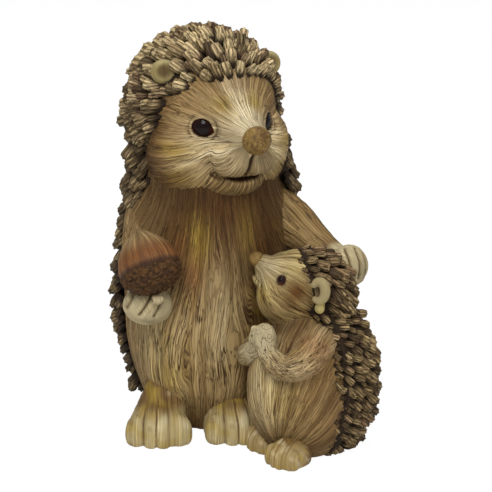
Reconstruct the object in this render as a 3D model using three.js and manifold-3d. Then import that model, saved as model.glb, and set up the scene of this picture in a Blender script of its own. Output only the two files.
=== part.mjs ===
// A garden ornament of cast, painted resin: a mother hedgehog stands upright with an acorn in her
// right paw, and her left arm lies round her young. The figure is glued up from separate hollow and
// solid castings, which a spigot, stems and steel dowels locate.
// Millimetres, +Z up. The mother's front faces -Y and her left is +X.
import * as THREE from "three";
import { mergeVertices } from "three/addons/utils/BufferGeometryUtils.js";
import Module from "manifold-3d";

const wasm = await Module();
wasm.setup();

const vec = (x, y, z) => new THREE.Vector3(x, y, z);
const degrees = THREE.MathUtils.degToRad;
const up = vec(0, 0, 1);

// Joints between the castings
const glueGap = 0.3;
const castingWall = 8;
const dowelRadius = 3;
const dowelLength = 30;
const dowelBossRadius = 9;
const dowelBossLength = 20;
const plateThickness = 6;
const plateLedge = 5;
const drainHoleRadius = 5;

// The mother's torso and the coat of spines behind it, as [half width, height] stations
const coatTop = 256;
const torsoTopDrop = 10;
const torsoStations = [[46, 0], [60, 36], [74, 80], [79, 128], [76, 190], [60, coatTop - torsoTopDrop]];
const torsoDepthShare = 1.04;
const torsoCavityTop = 200;
const coatStations = [[47, 0], [64, 38], [79, 84], [84, 130], [80, 200], [70, coatTop]];
const coatSpinePitch = 15;
const coatSpineRise = 8;
const coatSpineLie = 9;
const coatFrontEdge = -8;

// The mother's head, in a frame of its own that is turned towards her young
const headHeight = 45;
const headPlace = vec(-0.5, -3, coatTop + headHeight);
const headTurn = degrees(17);
const skullWidth = 134;
const skullDepth = 134;
const skullHeight = 132;
const neckSpigotRadius = 28;
const neckBoreRadius = 16;
const cheekRadius = 39;
const cheekPlace = vec(33, -24, -24);
const muzzleReach = 98;
const muzzleRootRadius = 46;
const muzzleTipRadius = 14;
const muzzleDrop = 13;
const lipPadRadius = 18;
const lipPadPlace = vec(13, -74, -29);
const jawPlace = vec(0, -60, -50);
const jawHalf = vec(25, 29, 14);
const mouthPlace = vec(0, -88, -45);
const mouthHalf = vec(22, 18, 3.2);
const noseRadius = 13;
const stemRadius = 3.5;
const stemLength = 15;
const eyeRadius = 10.5;
const eyePlace = vec(29, -55, -6);
const earRadius = 12.5;
const earThickness = 10;
const earPlace = vec(54, -28, 36);
const capThickness = 3;
const capDrop = 8;
const capSpinePitch = 12.5;
const capSpineRise = 7;
const capSpineLie = 9;
const facePlace = vec(0, -76, -34);
const faceHalf = vec(71, 72, 66);

// The mother's limbs: radii from the shoulder to the wrist, paws and feet
const armRadii = [24, 21, 18, 15, 13];
const rightArmLine = [
  vec(-54, -4, 206), vec(-68, -22, 180), vec(-71, -38, 155), vec(-70, -54, 139), vec(-68, -61, 132)];
const leftArmLine = [
  vec(58, -2, 202), vec(76, -20, 192), vec(90, -44, 178), vec(104, -66, 169), vec(114, -78, 164)];
const pawWidth = 42;
const pawThickness = 28;
const pawHeight = 36;
const fingerRadius = 6.2;
const fingerCount = 4;
const rightPawPlace = vec(-67, -71, 131);
const rightPawTurn = [18, 6, -8];
const leftPawPlace = vec(118, -84, 163);
const leftPawTurn = [-8, 34, 68];
const footWidth = 57;
const footLength = 74;
const footHeight = 37;
const toeRadius = 8;
const footDowelHeight = 18;
const footPlaces = { right_foot: vec(-57, -56, 0), left_foot: vec(15, -60, 0) };
const footTurns = { right_foot: -8, left_foot: 2 };

// The acorn, whose tip leans back against the mother's shoulder
const acornPlace = vec(-65, -86, 166);
const acornLean = vec(-0.22, 0.54, 0.81);
const acornRadius = 26;
const acornLength = 46;
const acornCupWall = 3.5;
const acornCupDepth = 22;
const acornCupRise = 3;

// The young one, in a frame of its own that faces across the mother's front
const youngPlace = vec(73, -108, 0);
const youngTurn = degrees(-72);
const youngNeckHeight = 122;
const youngNeckCover = 10;
const youngBodyHeight = 60;
const youngBodyHalf = vec(49, 54, youngNeckHeight + youngNeckCover - youngBodyHeight);
const youngWall = 9;
const youngFloor = 8;
const youngNeckWall = 28;
const youngCavityTop = youngNeckHeight - youngNeckWall;
const youngDrainRadius = 9;
const youngPlugThickness = 4;
const youngPadRadius = 15;
const youngPadHeight = 62;
const youngCoatThickness = 6;
const youngCoatEdge = 8;
const youngCoatShift = vec(0, 4, 6);
const youngCapThickness = 5;
const youngCapTilt = degrees(42);
const youngCapEdge = 3;
const youngNapeDepth = 7;
const youngSpinePitch = 12;
const youngSpineRise = 7;
const youngSpineLie = 6;
const youngHeadHeight = 29;
const youngHeadPlace = vec(-11, 0, youngNeckHeight + youngHeadHeight);
const youngHeadTurn = degrees(-28);
const youngHeadPitch = degrees(-35);
const youngHeadRadius = 34;
const youngSnoutReach = 44;
const youngSnoutRadii = [27, 18, 10];
const youngCheekRadius = 24;
const youngCheekPlace = vec(9, -8, -15);
const youngNoseRadius = 6.6;
const youngEyeRadius = 4;
const youngEyePlace = vec(27.2, -20.4, 0);
const youngEarHalf = vec(6, 8, 12.5);
const youngEarPlace = vec(38, 10, 16);
const youngArmRadii = [13, 12, 10.5, 9, 8];
const youngArmLine = [
  vec(27, -2, 108), vec(38, -22, 99), vec(34, -40, 92), vec(21, -48, 102), vec(9, -46, 115)];
const youngPawHalf = vec(8.5, 9, 13);
const youngFootWidth = 34;
const youngFootLength = 44;
const youngFootHeight = 26;
const youngToeRadius = 4.8;
const youngFootPlaces = { left: vec(27, -30, 0), right: vec(-16, -28, 0) };
const youngFootTurns = { left: 20, right: -2 };

// Fineness of the round forms
const bodySides = 16;
const limbSides = 10;
const smallSides = 8;
const fingerSides = 6;

// Turns a closed geometry, placed by a matrix, into a solid with its faces pointing out.
function solidOf(geometry, matrix = new THREE.Matrix4()) {
  const bare = new THREE.BufferGeometry().setAttribute("position", geometry.getAttribute("position").clone());
  bare.setIndex(geometry.index);
  const merged = mergeVertices(bare.applyMatrix4(matrix), 1e-3);
  const corners = Array.from(merged.index.array);
  const kept = [];
  for (let i = 0; i < corners.length; i += 3) {
    const [a, b, c] = corners.slice(i, i + 3);
    if (a !== b && b !== c && c !== a) kept.push(a, b, c);
  }
  const position = merged.getAttribute("position");
  return new wasm.Manifold(
    new wasm.Mesh({ numProp: 3, vertProperties: position.array, triVerts: new Uint32Array(kept) }),
  );
}

const join = (solids) => solids.reduce((all, next) => all.add(next));
const cut = (solid, tools) => tools.reduce((left, tool) => left.subtract(tool), solid);

// The largest body of a solid, without the crumbs that a cut leaves loose.
function mainBody(solid) {
  return solid.decompose().reduce((big, next) => (next.volume() > big.volume() ? next : big));
}

// A frame at a point, turned by angles in degrees about X, then Y, then Z.
function frameAt(place, turns) {
  const euler = new THREE.Euler(...turns.map(degrees), "ZYX");
  return new THREE.Matrix4().compose(place, new THREE.Quaternion().setFromEuler(euler), vec(1, 1, 1));
}

// A frame at a point whose +Z lies along a direction.
function standing(place, direction) {
  const turn = new THREE.Quaternion().setFromUnitVectors(up, direction.clone().normalize());
  return new THREE.Matrix4().compose(place, turn, vec(1, 1, 1));
}

function ellipsoid(place, half, sides = limbSides) {
  const ball = new THREE.SphereGeometry(1, sides, Math.ceil(sides * 0.6)).rotateX(Math.PI / 2);
  return ball.scale(half.x, half.y, half.z).translate(place.x, place.y, place.z);
}
const grown = (half, grow) => half.clone().addScalar(grow);
const ball = (place, radius, sides) => ellipsoid(place, vec(radius, radius, radius), sides);

// A round bar from one point to another.
function bar(from, to, radius, sides = limbSides) {
  const along = to.clone().sub(from);
  const rod = new THREE.CylinderGeometry(radius, radius, along.length(), sides).rotateX(Math.PI / 2);
  return rod.applyMatrix4(standing(from.clone().add(to).multiplyScalar(0.5), along));
}

// A block between two opposite corners.
function block(low, high) {
  const size = high.clone().sub(low);
  const middle = low.clone().add(high).multiplyScalar(0.5);
  return new THREE.BoxGeometry(size.x, size.y, size.z).translate(middle.x, middle.y, middle.z);
}
const far = 900;
const belowGround = solidOf(block(vec(-far, -far, -far), vec(far, far, 0)));

// A limb: round sections along a smooth line, whose radius changes smoothly, with a dome at each end.
function limb(points, radii, sides = limbSides, steps = 7) {
  const line = new THREE.CatmullRomCurve3(points);
  const girth = new THREE.SplineCurve(radii.map((radius, i) => new THREE.Vector2(i, radius)));
  const frames = line.computeFrenetFrames(steps, false);
  const domeRings = 2;
  const rings = [];
  for (let i = 1 - domeRings; i < steps + domeRings; i += 1) {
    const k = Math.min(Math.max(i, 0), steps);
    const lean = ((i - k) / domeRings) * (Math.PI / 2);
    const radius = girth.getPoint(k / steps).y;
    const centre = line.getPointAt(k / steps).addScaledVector(frames.tangents[k], radius * Math.sin(lean));
    rings.push({ centre, k, radius: radius * Math.cos(lean) });
  }
  const vertices = [];
  for (const { centre, k, radius } of rings) {
    for (let side = 0; side < sides; side += 1) {
      const turn = (side / sides) * 2 * Math.PI;
      const outward = frames.normals[k].clone().multiplyScalar(Math.cos(turn));
      outward.addScaledVector(frames.binormals[k], Math.sin(turn));
      vertices.push(...centre.clone().addScaledVector(outward, radius));
    }
  }
  const firstPole = vertices.length / 3;
  vertices.push(...points[0].clone().addScaledVector(frames.tangents[0], -radii[0]));
  vertices.push(...points.at(-1).clone().addScaledVector(frames.tangents[steps], radii.at(-1)));
  const lastRing = (rings.length - 1) * sides;
  const faces = [];
  for (let side = 0; side < sides; side += 1) {
    const next = (side + 1) % sides;
    faces.push(firstPole, next, side, firstPole + 1, lastRing + side, lastRing + next);
    for (let row = 0; row < lastRing; row += sides) {
      const [a, b] = [row + side, row + next];
      faces.push(a, b, a + sides, b, b + sides, a + sides);
    }
  }
  const shape = new THREE.BufferGeometry();
  shape.setAttribute("position", new THREE.Float32BufferAttribute(vertices, 3));
  return shape.setIndex(faces);
}

// A form turned about the vertical axis through smooth [radius, height] stations, with flat ends.
function turned(stations, grow, sides = bodySides, steps = 8) {
  const line = new THREE.SplineCurve(stations.map(([radius, height]) => new THREE.Vector2(radius, height)));
  const wall = line.getPoints(steps).map((point) => new THREE.Vector2(point.x + grow, point.y));
  wall[0].y -= grow;
  wall[steps].y += grow;
  const profile = [new THREE.Vector2(0, wall[0].y), ...wall, new THREE.Vector2(0, wall[steps].y)];
  return new THREE.LatheGeometry(profile, sides).rotateX(Math.PI / 2);
}
function radiusAt(stations, height) {
  const line = new THREE.SplineCurve(stations.map(([radius, z]) => new THREE.Vector2(radius, z)));
  const off = (point) => Math.abs(point.y - height);
  return line.getPoints(80).reduce((near, point) => (off(point) < off(near) ? point : near)).x;
}

// A closed skin over rings of points, with the middle of each cell drawn out to a spine's tip.
function spiny(rings, poles, tipOf) {
  const count = rings[0].length;
  const points = [...rings.flat(), ...poles];
  const firstPole = rings.length * count;
  const lastRing = firstPole - count;
  const faces = [];
  for (let k = 0; k < count; k += 1) {
    const next = (k + 1) % count;
    faces.push(firstPole, next, k, firstPole + 1, lastRing + k, lastRing + next);
    for (let row = 0; row < lastRing; row += count) {
      const cell = [row + k, row + next, row + count + next, row + count + k];
      const middle = cell.reduce((sum, i) => sum.addScaledVector(points[i], 0.25), vec(0, 0, 0));
      const tip = points.push(tipOf(middle)) - 1;
      cell.forEach((corner, i) => faces.push(corner, cell[(i + 1) % 4], tip));
    }
  }
  const shape = new THREE.BufferGeometry();
  shape.setAttribute("position", new THREE.Float32BufferAttribute(points.flatMap((p) => p.toArray()), 3));
  return shape.setIndex(faces);
}

// Points round a ring, half a step on in every second row.
function ringOf(row, count, pointAt) {
  return Array.from({ length: count }, (_, k) => pointAt((2 * Math.PI * (k + (row % 2) / 2)) / count));
}

// An ellipsoid covered in spines that rise from it and lie along a direction; tilt turns its poles about X.
function spinyEllipsoid({ middle, half, tilt, pitch, rise, lie }, grow) {
  const full = grown(half, grow);
  const rows = Math.round((Math.PI * half.y) / pitch);
  const count = Math.round((2 * Math.PI * half.x) / pitch);
  const place = (lean, turn) => vec(Math.cos(turn), Math.sin(turn), 0)
    .multiplyScalar(Math.sin(lean)).setZ(-Math.cos(lean))
    .applyAxisAngle(vec(1, 0, 0), tilt).multiply(full).add(middle);
  const rings = Array.from({ length: rows - 1 }, (_, row) => ringOf(
    row, count, (turn) => place((Math.PI * (row + 1)) / rows, turn)));
  return spiny(rings, [place(0, 0), place(Math.PI, 0)], (at) => {
    const outward = at.clone().sub(middle).divide(full).normalize();
    const along = lie.clone().addScaledVector(outward, -lie.dot(outward));
    return at.clone().addScaledVector(outward, rise).add(along);
  });
}

// Frames that the pieces stand in
const headFrame = new THREE.Matrix4().makeRotationZ(headTurn).setPosition(headPlace);
const youngFrame = new THREE.Matrix4().makeRotationZ(youngTurn).setPosition(youngPlace);
const youngHeadFrame = youngFrame.clone().multiply(new THREE.Matrix4().makeRotationZ(youngHeadTurn)
  .multiply(new THREE.Matrix4().makeRotationX(youngHeadPitch)).setPosition(youngHeadPlace));
const mirrored = (place) => vec(-place.x, place.y, place.z);
const pairOf = (place) => ({ left: place, right: mirrored(place) });

// The mother's torso
const torsoForm = (grow) => solidOf(turned(torsoStations, grow).scale(1, torsoDepthShare, 1));
function torsoPoint(turnFromFront, height) {
  const turn = degrees(turnFromFront);
  const radius = radiusAt(torsoStations, height);
  return vec(radius * Math.sin(turn), -radius * torsoDepthShare * Math.cos(turn), height);
}

// The mother's head: skull, cheeks, muzzle, lip pads and jaw, parted by the smile
const nosePlace = vec(0, -muzzleReach - noseRadius * 0.65, -muzzleDrop);
function headForm(grow) {
  const forms = [
    ellipsoid(vec(0, 0, 0), grown(vec(skullWidth / 2, skullDepth / 2, skullHeight / 2), grow), bodySides),
    limb(
      [vec(0, -34, -muzzleDrop), vec(0, -64, -muzzleDrop), vec(0, -muzzleReach + muzzleTipRadius, -muzzleDrop)],
      [muzzleRootRadius + grow, 29 + grow, muzzleTipRadius + grow], limbSides, 4),
    ellipsoid(jawPlace, grown(jawHalf, grow)),
  ];
  for (const side of [1, -1]) {
    const aside = vec(side, 1, 1);
    forms.push(ball(cheekPlace.clone().multiply(aside), cheekRadius + grow, limbSides));
    forms.push(ball(lipPadPlace.clone().multiply(aside), lipPadRadius + grow, limbSides));
  }
  const mouth = solidOf(ellipsoid(mouthPlace, grown(mouthHalf, -grow), smallSides), headFrame);
  return join(forms.map((form) => solidOf(form, headFrame))).subtract(mouth);
}

// The skull's coat: a shell behind the hairline, with spines that lie back from the face
const skullHalf = vec(skullWidth / 2, skullDepth / 2, skullHeight / 2);
const cap = {
  middle: vec(0, 0, -capDrop),
  half: grown(skullHalf, capThickness).add(vec(0, 0, capDrop)),
  tilt: -Math.PI / 2,
  pitch: capSpinePitch,
  rise: capSpineRise,
  lie: vec(0, capSpineLie, -capSpineLie / 2),
};
function capForm(grow) {
  const face = solidOf(ellipsoid(facePlace, grown(faceHalf, -grow), bodySides), headFrame);
  const neckLine = solidOf(block(vec(-far, -far, -far), vec(far, far, coatTop + glueGap - grow)));
  return cut(solidOf(spinyEllipsoid(cap, grow), headFrame), [face, neckLine]);
}

// The mother's back coat, with spines that hang down and out
function coatForm(grow) {
  const rows = Math.round(coatTop / coatSpinePitch);
  const widest = Math.max(...coatStations.map(([radius]) => radius));
  const count = Math.round((2 * Math.PI * widest) / coatSpinePitch);
  const rings = Array.from({ length: rows + 1 }, (_, row) => {
    const height = (coatTop * row) / rows;
    const radius = radiusAt(coatStations, height) + grow;
    return ringOf(row, count, (turn) => vec(radius * Math.cos(turn), radius * Math.sin(turn), height));
  });
  const skin = spiny(rings, [vec(0, 0, 0), vec(0, 0, coatTop)], (at) => at.clone()
    .addScaledVector(at.clone().setZ(0).normalize(), coatSpineRise).add(vec(0, 0, -coatSpineLie)));
  const front = solidOf(block(vec(-far, -far, -far), vec(far, coatFrontEdge - grow, far)));
  return cut(solidOf(skin), [front, belowGround]);
}

// A paw in its own frame: a palm, and fingers that curl up its front
function pawForm(frame, grow) {
  const half = vec(pawWidth / 2, pawThickness / 2, pawHeight / 2);
  const forms = [ellipsoid(vec(0, 0, 0), grown(half, grow), smallSides)];
  const pitch = (pawWidth - 2 * fingerRadius) / (fingerCount - 1);
  for (let k = 0; k < fingerCount; k += 1) {
    const across = (k - (fingerCount - 1) / 2) * pitch;
    const knuckles = [
      vec(across * 0.8, -half.y * 0.65, -half.z * 0.35), vec(across, -half.y * 0.95, half.z * 0.25),
      vec(across, -half.y * 0.6, half.z * 0.8)];
    forms.push(limb(knuckles, [fingerRadius + grow, fingerRadius + grow, fingerRadius + grow], fingerSides, 2));
  }
  return join(forms.map((form) => solidOf(form, frame)));
}
function armForm(line, pawFrame, grow) {
  const arm = limb(line, armRadii.map((radius) => radius + grow));
  return solidOf(arm).add(pawForm(pawFrame, grow));
}
const rightArmForm = (grow) => armForm(rightArmLine, frameAt(rightPawPlace, rightPawTurn), grow);
const leftArmForm = (grow) => armForm(leftArmLine, frameAt(leftPawPlace, leftPawTurn), grow);

// A foot flat on the ground, with its toes towards -Y of its frame
function footForm(frame, width, length, height, toe, grow) {
  const half = vec(width / 2, length / 2, height * 0.8);
  const forms = [ellipsoid(vec(0, 0, height - half.z), grown(half, grow), limbSides)];
  for (const step of [-1.5, -0.5, 0.5, 1.5]) {
    const place = vec(step * (width / 2 - toe) / 1.5, -length * (0.36 - Math.abs(step) * 0.04), height * 0.28);
    forms.push(ellipsoid(place, grown(vec(toe, toe * 1.7, height * 0.42), grow), fingerSides));
  }
  return join(forms.map((form) => solidOf(form, frame))).subtract(belowGround);
}
const motherFoot = (name, grow) => footForm(
  frameAt(footPlaces[name], [0, 0, footTurns[name]]), footWidth, footLength, footHeight, toeRadius, grow);

// The acorn, on its own axis
const acornFrame = standing(acornPlace, acornLean);
const nutStations = [
  [acornRadius * 0.7, -acornCupDepth * 0.7], [acornRadius, 6], [acornRadius * 0.84, acornLength * 0.55],
  [acornRadius * 0.4, acornLength * 0.88], [2, acornLength]];
const nutForm = (grow) => solidOf(turned(nutStations, grow, limbSides, 6), acornFrame);
function cupForm(grow) {
  const radius = acornRadius + acornCupWall + grow;
  const bowl = ellipsoid(vec(0, 0, 0), vec(radius, radius, acornCupDepth + grow), limbSides);
  const above = block(vec(-far, -far, acornCupRise + grow), vec(far, far, far));
  return solidOf(bowl, acornFrame).subtract(solidOf(above, acornFrame));
}

// The young one's body, coat and head
const youngBodyMiddle = vec(0, 0, youngBodyHeight);
const youngBodyForm = (grow, frame = youngFrame) => solidOf(
  ellipsoid(youngBodyMiddle, grown(youngBodyHalf, grow), bodySides), frame).subtract(belowGround);
function youngHeadForm(grow) {
  const snout = [vec(0, -12, -3), vec(0, -28, -3), vec(0, -youngSnoutReach + youngSnoutRadii[2], -2)];
  const forms = [
    ball(vec(0, 0, 0), youngHeadRadius + grow, bodySides),
    limb(snout, youngSnoutRadii.map((radius) => radius + grow), limbSides, 3),
    ball(youngCheekPlace, youngCheekRadius + grow, smallSides),
    ball(mirrored(youngCheekPlace), youngCheekRadius + grow, smallSides)];
  return join(forms.map((form) => solidOf(form, youngHeadFrame)));
}

// The young one's coats: each is a spiny ellipsoid behind a plane
const youngCoat = {
  middle: vec(0, youngCoatShift.y, youngBodyHeight + youngCoatShift.z),
  half: grown(youngBodyHalf, youngCoatThickness).add(youngCoatShift),
  tilt: 0,
  pitch: youngSpinePitch,
  rise: youngSpineRise,
  lie: vec(0, 0, -youngSpineLie),
};
const youngCap = {
  middle: vec(0, youngNapeDepth, 0),
  half: grown(vec(youngHeadRadius, youngHeadRadius + youngNapeDepth, youngHeadRadius), youngCapThickness),
  tilt: -Math.PI / 2,
  pitch: youngSpinePitch,
  rise: youngSpineRise,
  lie: vec(0, youngSpineLie, 0),
};
function roundCoat(coat, edge, tilt, frame, grow) {
  const behind = block(vec(-far, edge - grow, -far), vec(far, far, far)).rotateX(tilt);
  return solidOf(spinyEllipsoid(coat, grow), frame).intersect(solidOf(behind, frame)).subtract(belowGround);
}
const youngCoatForm = (grow) => roundCoat(youngCoat, youngCoatEdge, 0, youngFrame, grow);
const youngCapForm = (grow) => roundCoat(youngCap, youngCapEdge, youngCapTilt, youngHeadFrame, grow);

// The young one's limbs
function youngArmForm(side, grow) {
  const aside = vec(side, 1, 1);
  const line = youngArmLine.map((point) => point.clone().multiply(aside));
  const forms = [
    limb(line, youngArmRadii.map((radius) => radius + grow), smallSides, 6),
    ellipsoid(line.at(-1), grown(youngPawHalf, grow), smallSides)];
  return join(forms.map((form) => solidOf(form, youngFrame)));
}
const youngFootForm = (side, grow) => footForm(
  youngFrame.clone().multiply(frameAt(youngFootPlaces[side], [0, 0, youngFootTurns[side]])),
  youngFootWidth, youngFootLength, youngFootHeight, youngToeRadius, grow);

// Stemmed small parts: a ball or dome, and the stem that locates it
function stemmed(form, place, inward, frame, grow) {
  const end = place.clone().addScaledVector(inward.clone().normalize(), stemLength + grow);
  return join([form, bar(place, end, stemRadius + grow, fingerSides)].map((shape) => solidOf(shape, frame)));
}
const inwardFrom = (place) => vec(-place.x, -place.y, -place.z);
const noseForm = (grow) => stemmed(
  ball(nosePlace, noseRadius + grow, limbSides), nosePlace, vec(0, 1, 0), headFrame, grow);
const eyeForm = (place, grow) => stemmed(
  ball(place, eyeRadius + grow, smallSides), place, inwardFrom(place), headFrame, grow);
function earForm(place, grow) {
  const half = grown(vec(earRadius, earThickness / 2, earRadius), grow);
  return solidOf(ellipsoid(place, half, smallSides), headFrame);
}
const youngNosePlace = vec(0, -youngSnoutReach - youngNoseRadius * 0.5, -2);
const youngNoseForm = (grow) => stemmed(
  ball(youngNosePlace, youngNoseRadius + grow, smallSides), youngNosePlace, vec(0, 1, 0), youngHeadFrame, grow);
const youngEyeForm = (place, grow) => solidOf(ball(place, youngEyeRadius + grow, fingerSides), youngHeadFrame);
const youngEarForm = (place, grow) => solidOf(
  ellipsoid(place, grown(youngEarHalf, grow), smallSides), youngHeadFrame);

// Steel dowels: where each one crosses its seam, and which way it runs
const youngPadLine = youngPlace.clone().normalize();
const youngSeam = youngPlace.clone().addScaledVector(youngPadLine, -youngBodyHalf.x).setZ(youngPadHeight);
const dowels = {
  right_arm_dowel: { place: torsoPoint(-66, 168), along: vec(-0.91, -0.42, 0) },
  left_arm_dowel: { place: torsoPoint(75, 192), along: vec(0.97, -0.25, 0) },
  right_foot_dowel: { place: torsoPoint(-44, footDowelHeight), along: vec(-0.6, -0.8, 0) },
  left_foot_dowel: { place: torsoPoint(14, footDowelHeight), along: vec(0.2, -1, 0) },
  young_dowel: { place: youngSeam, along: youngPadLine },
  young_neck_dowel: { place: youngHeadPlace.clone().setZ(youngNeckHeight).applyMatrix4(youngFrame), along: up },
};
function dowelForm({ place, along }, grow) {
  const half = along.clone().normalize().multiplyScalar(dowelLength / 2 + grow);
  return solidOf(bar(place.clone().sub(half), place.clone().add(half), dowelRadius + grow, smallSides));
}
const dowelHoles = Object.values(dowels).map((dowel) => dowelForm(dowel, glueGap));
function dowelBoss({ place, along }, way) {
  const end = place.clone().addScaledVector(along.clone().normalize(), way * dowelBossLength);
  return solidOf(bar(place, end, dowelBossRadius, smallSides));
}

// The torso is a hollow shell: bosses for its dowels, a pad for the young one, a seat for its base plate
const motherDowels = ["right_arm_dowel", "left_arm_dowel", "right_foot_dowel", "left_foot_dowel"];
const plateRadius = torsoStations[0][0] - plateLedge;
const plateOutline = (grow, low, high) => solidOf(
  bar(vec(0, 0, low), vec(0, 0, high), plateRadius + grow, bodySides).scale(1, torsoDepthShare, 1));
const drainHole = solidOf(bar(vec(0, 0, -1), vec(0, 0, plateThickness + 1), drainHoleRadius, smallSides));
const neckSpigot = (grow, low) => solidOf(
  bar(headPlace.clone().setZ(low), headPlace, neckSpigotRadius + grow, limbSides));
function torsoShell() {
  const ceiling = solidOf(block(vec(-far, -far, torsoCavityTop), vec(far, far, far)));
  const cavity = torsoForm(-castingWall).subtract(ceiling);
  const padRoot = youngSeam.clone().addScaledVector(youngPadLine, -2 * dowelBossLength);
  const pad = solidOf(bar(padRoot, youngPlace.clone().setZ(youngPadHeight), youngPadRadius, limbSides));
  const bosses = motherDowels.map((name) => dowelBoss(dowels[name], -1).intersect(torsoForm(-1)));
  const seat = mainBody(pad.subtract(youngBodyForm(glueGap)));
  const shell = join([torsoForm(0).subtract(cavity), seat, ...bosses]);
  return cut(shell, [
    belowGround, plateOutline(glueGap, -1, plateThickness + glueGap), headForm(glueGap),
    neckSpigot(glueGap, torsoCavityTop - 1), ...dowelHoles]);
}
const basePlate = () => plateOutline(0, 0, plateThickness).subtract(drainHole);

// The head is hollow too, and open down through its spigot
function headShell() {
  const hollow = solidOf(ellipsoid(vec(0, 0, 0), grown(skullHalf, -castingWall), limbSides), headFrame);
  const bore = solidOf(bar(headPlace.clone().setZ(torsoCavityTop - 1), headPlace, neckBoreRadius, limbSides));
  const small = Object.values(pairOf(eyePlace)).map((place) => eyeForm(place, glueGap));
  const ears = Object.values(pairOf(earPlace)).map((place) => earForm(place, glueGap));
  return cut(headForm(0).add(neckSpigot(0, torsoCavityTop)), [
    hollow, bore, noseForm(glueGap), ...small, ...ears]);
}
function headCoat() {
  const ears = Object.values(pairOf(earPlace)).map((place) => earForm(place, glueGap));
  return cut(capForm(0), [headForm(glueGap), ...ears]);
}
const backCoat = () => cut(coatForm(0), [
  torsoForm(glueGap), headForm(glueGap), rightArmForm(glueGap), leftArmForm(glueGap), belowGround]);

const rightArm = () => cut(rightArmForm(0), [torsoForm(glueGap), headForm(glueGap), ...dowelHoles]);
const leftArm = () => cut(leftArmForm(0), [
  torsoForm(glueGap), headForm(glueGap), youngCapForm(glueGap), youngCoatForm(glueGap),
  youngHeadForm(glueGap), youngEarForm(mirrored(youngEarPlace), glueGap), ...dowelHoles]);
const foot = (name) => cut(motherFoot(name, 0), [
  torsoForm(glueGap), coatForm(glueGap), youngBodyForm(glueGap), youngFootForm("left", glueGap),
  youngFootForm("right", glueGap), ...dowelHoles]);
const acornCup = () => cut(cupForm(0), [nutForm(glueGap), rightArmForm(glueGap), torsoForm(glueGap)]);
const acornNut = () => cut(nutForm(0), [rightArmForm(glueGap), torsoForm(glueGap)]);

// The young one's castings
const youngDrain = (grow, low, high) => solidOf(
  bar(vec(0, 0, low), vec(0, 0, high), youngDrainRadius + grow, limbSides), youngFrame);
const youngEyes = pairOf(youngEyePlace);
const youngEars = pairOf(youngEarPlace);
function youngBody() {
  const kept = solidOf(block(vec(-far, -far, youngFloor), vec(far, far, youngCavityTop)), youngFrame);
  const cavity = youngBodyForm(-youngWall).intersect(kept);
  const boss = dowelBoss(dowels.young_dowel, 1).intersect(youngBodyForm(-1));
  return cut(youngBodyForm(0).subtract(cavity).add(boss), [
    youngDrain(0, -1, youngFloor + 1), youngHeadForm(glueGap), torsoForm(glueGap), ...dowelHoles]);
}
const youngPlug = () => youngDrain(-glueGap, glueGap, youngPlugThickness + glueGap);
const youngHead = () => cut(youngHeadForm(0), [
  youngNoseForm(glueGap), ...Object.values(youngEyes).map((place) => youngEyeForm(place, glueGap)),
  ...Object.values(youngEars).map((place) => youngEarForm(place, glueGap)), torsoForm(glueGap), ...dowelHoles]);
const youngHeadCoat = () => cut(youngCapForm(0), [
  youngHeadForm(glueGap), youngBodyForm(glueGap), torsoForm(glueGap),
  ...Object.values(youngEars).map((place) => youngEarForm(place, glueGap))]);
const youngBackCoat = () => cut(youngCoatForm(0), [
  youngBodyForm(glueGap), youngHeadForm(glueGap), youngCapForm(glueGap), torsoForm(glueGap), coatForm(glueGap),
  youngArmForm(1, glueGap), youngArmForm(-1, glueGap), youngFootForm("left", glueGap),
  youngFootForm("right", glueGap)]);
const youngArm = (side) => cut(youngArmForm(side, 0), [
  youngBodyForm(glueGap), youngHeadForm(glueGap), torsoForm(glueGap), youngCapForm(glueGap)]);
const youngFoot = (name) => youngFootForm(name, 0).subtract(youngBodyForm(glueGap));

// Finishes, as colour, roughness and metalness
const finishes = {
  fur: ["#a08a5e", 0.75, 0],
  pale: ["#c9bd93", 0.75, 0],
  spines: ["#5d4c38", 0.8, 0],
  nose: ["#9a7f45", 0.6, 0],
  eye: ["#1c0d08", 0.1, 0],
  nut: ["#a5603a", 0.6, 0],
  cup: ["#5a3826", 0.85, 0],
  plate: ["#8d8573", 0.85, 0],
  rubber: ["#2e2c2a", 0.9, 0],
  steel: ["#a9abad", 0.35, 1],
};

const pieces = {
  torso_shell: [torsoShell, "fur"],
  base_plate: [basePlate, "plate"],
  back_coat: [backCoat, "spines"],
  head_shell: [headShell, "fur"],
  head_coat: [headCoat, "spines"],
  nose: [() => noseForm(0), "nose"],
  right_arm: [rightArm, "fur"],
  left_arm: [leftArm, "fur"],
  right_foot: [() => foot("right_foot"), "pale"],
  left_foot: [() => foot("left_foot"), "pale"],
  acorn_nut: [acornNut, "nut"],
  acorn_cup: [acornCup, "cup"],
  young_body: [youngBody, "fur"],
  young_plug: [youngPlug, "rubber"],
  young_back_coat: [youngBackCoat, "spines"],
  young_head: [youngHead, "fur"],
  young_head_coat: [youngHeadCoat, "spines"],
  young_nose: [() => youngNoseForm(0), "nose"],
  young_left_arm: [() => youngArm(1), "fur"],
  young_right_arm: [() => youngArm(-1).subtract(youngArmForm(1, glueGap)), "fur"],
  young_left_foot: [() => youngFoot("left"), "pale"],
  young_right_foot: [() => youngFoot("right").subtract(youngFootForm("left", glueGap)), "pale"],
};
for (const side of ["left", "right"]) {
  pieces[`${side}_eye`] = [() => eyeForm(pairOf(eyePlace)[side], 0), "eye"];
  pieces[`${side}_ear`] = [() => earForm(pairOf(earPlace)[side], 0), "pale"];
  pieces[`young_${side}_eye`] = [() => youngEyeForm(youngEyes[side], 0), "eye"];
  pieces[`young_${side}_ear`] = [() => youngEarForm(youngEars[side], 0), "pale"];
}
for (const [name, dowel] of Object.entries(dowels)) pieces[name] = [() => dowelForm(dowel, 0), "steel"];

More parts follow.
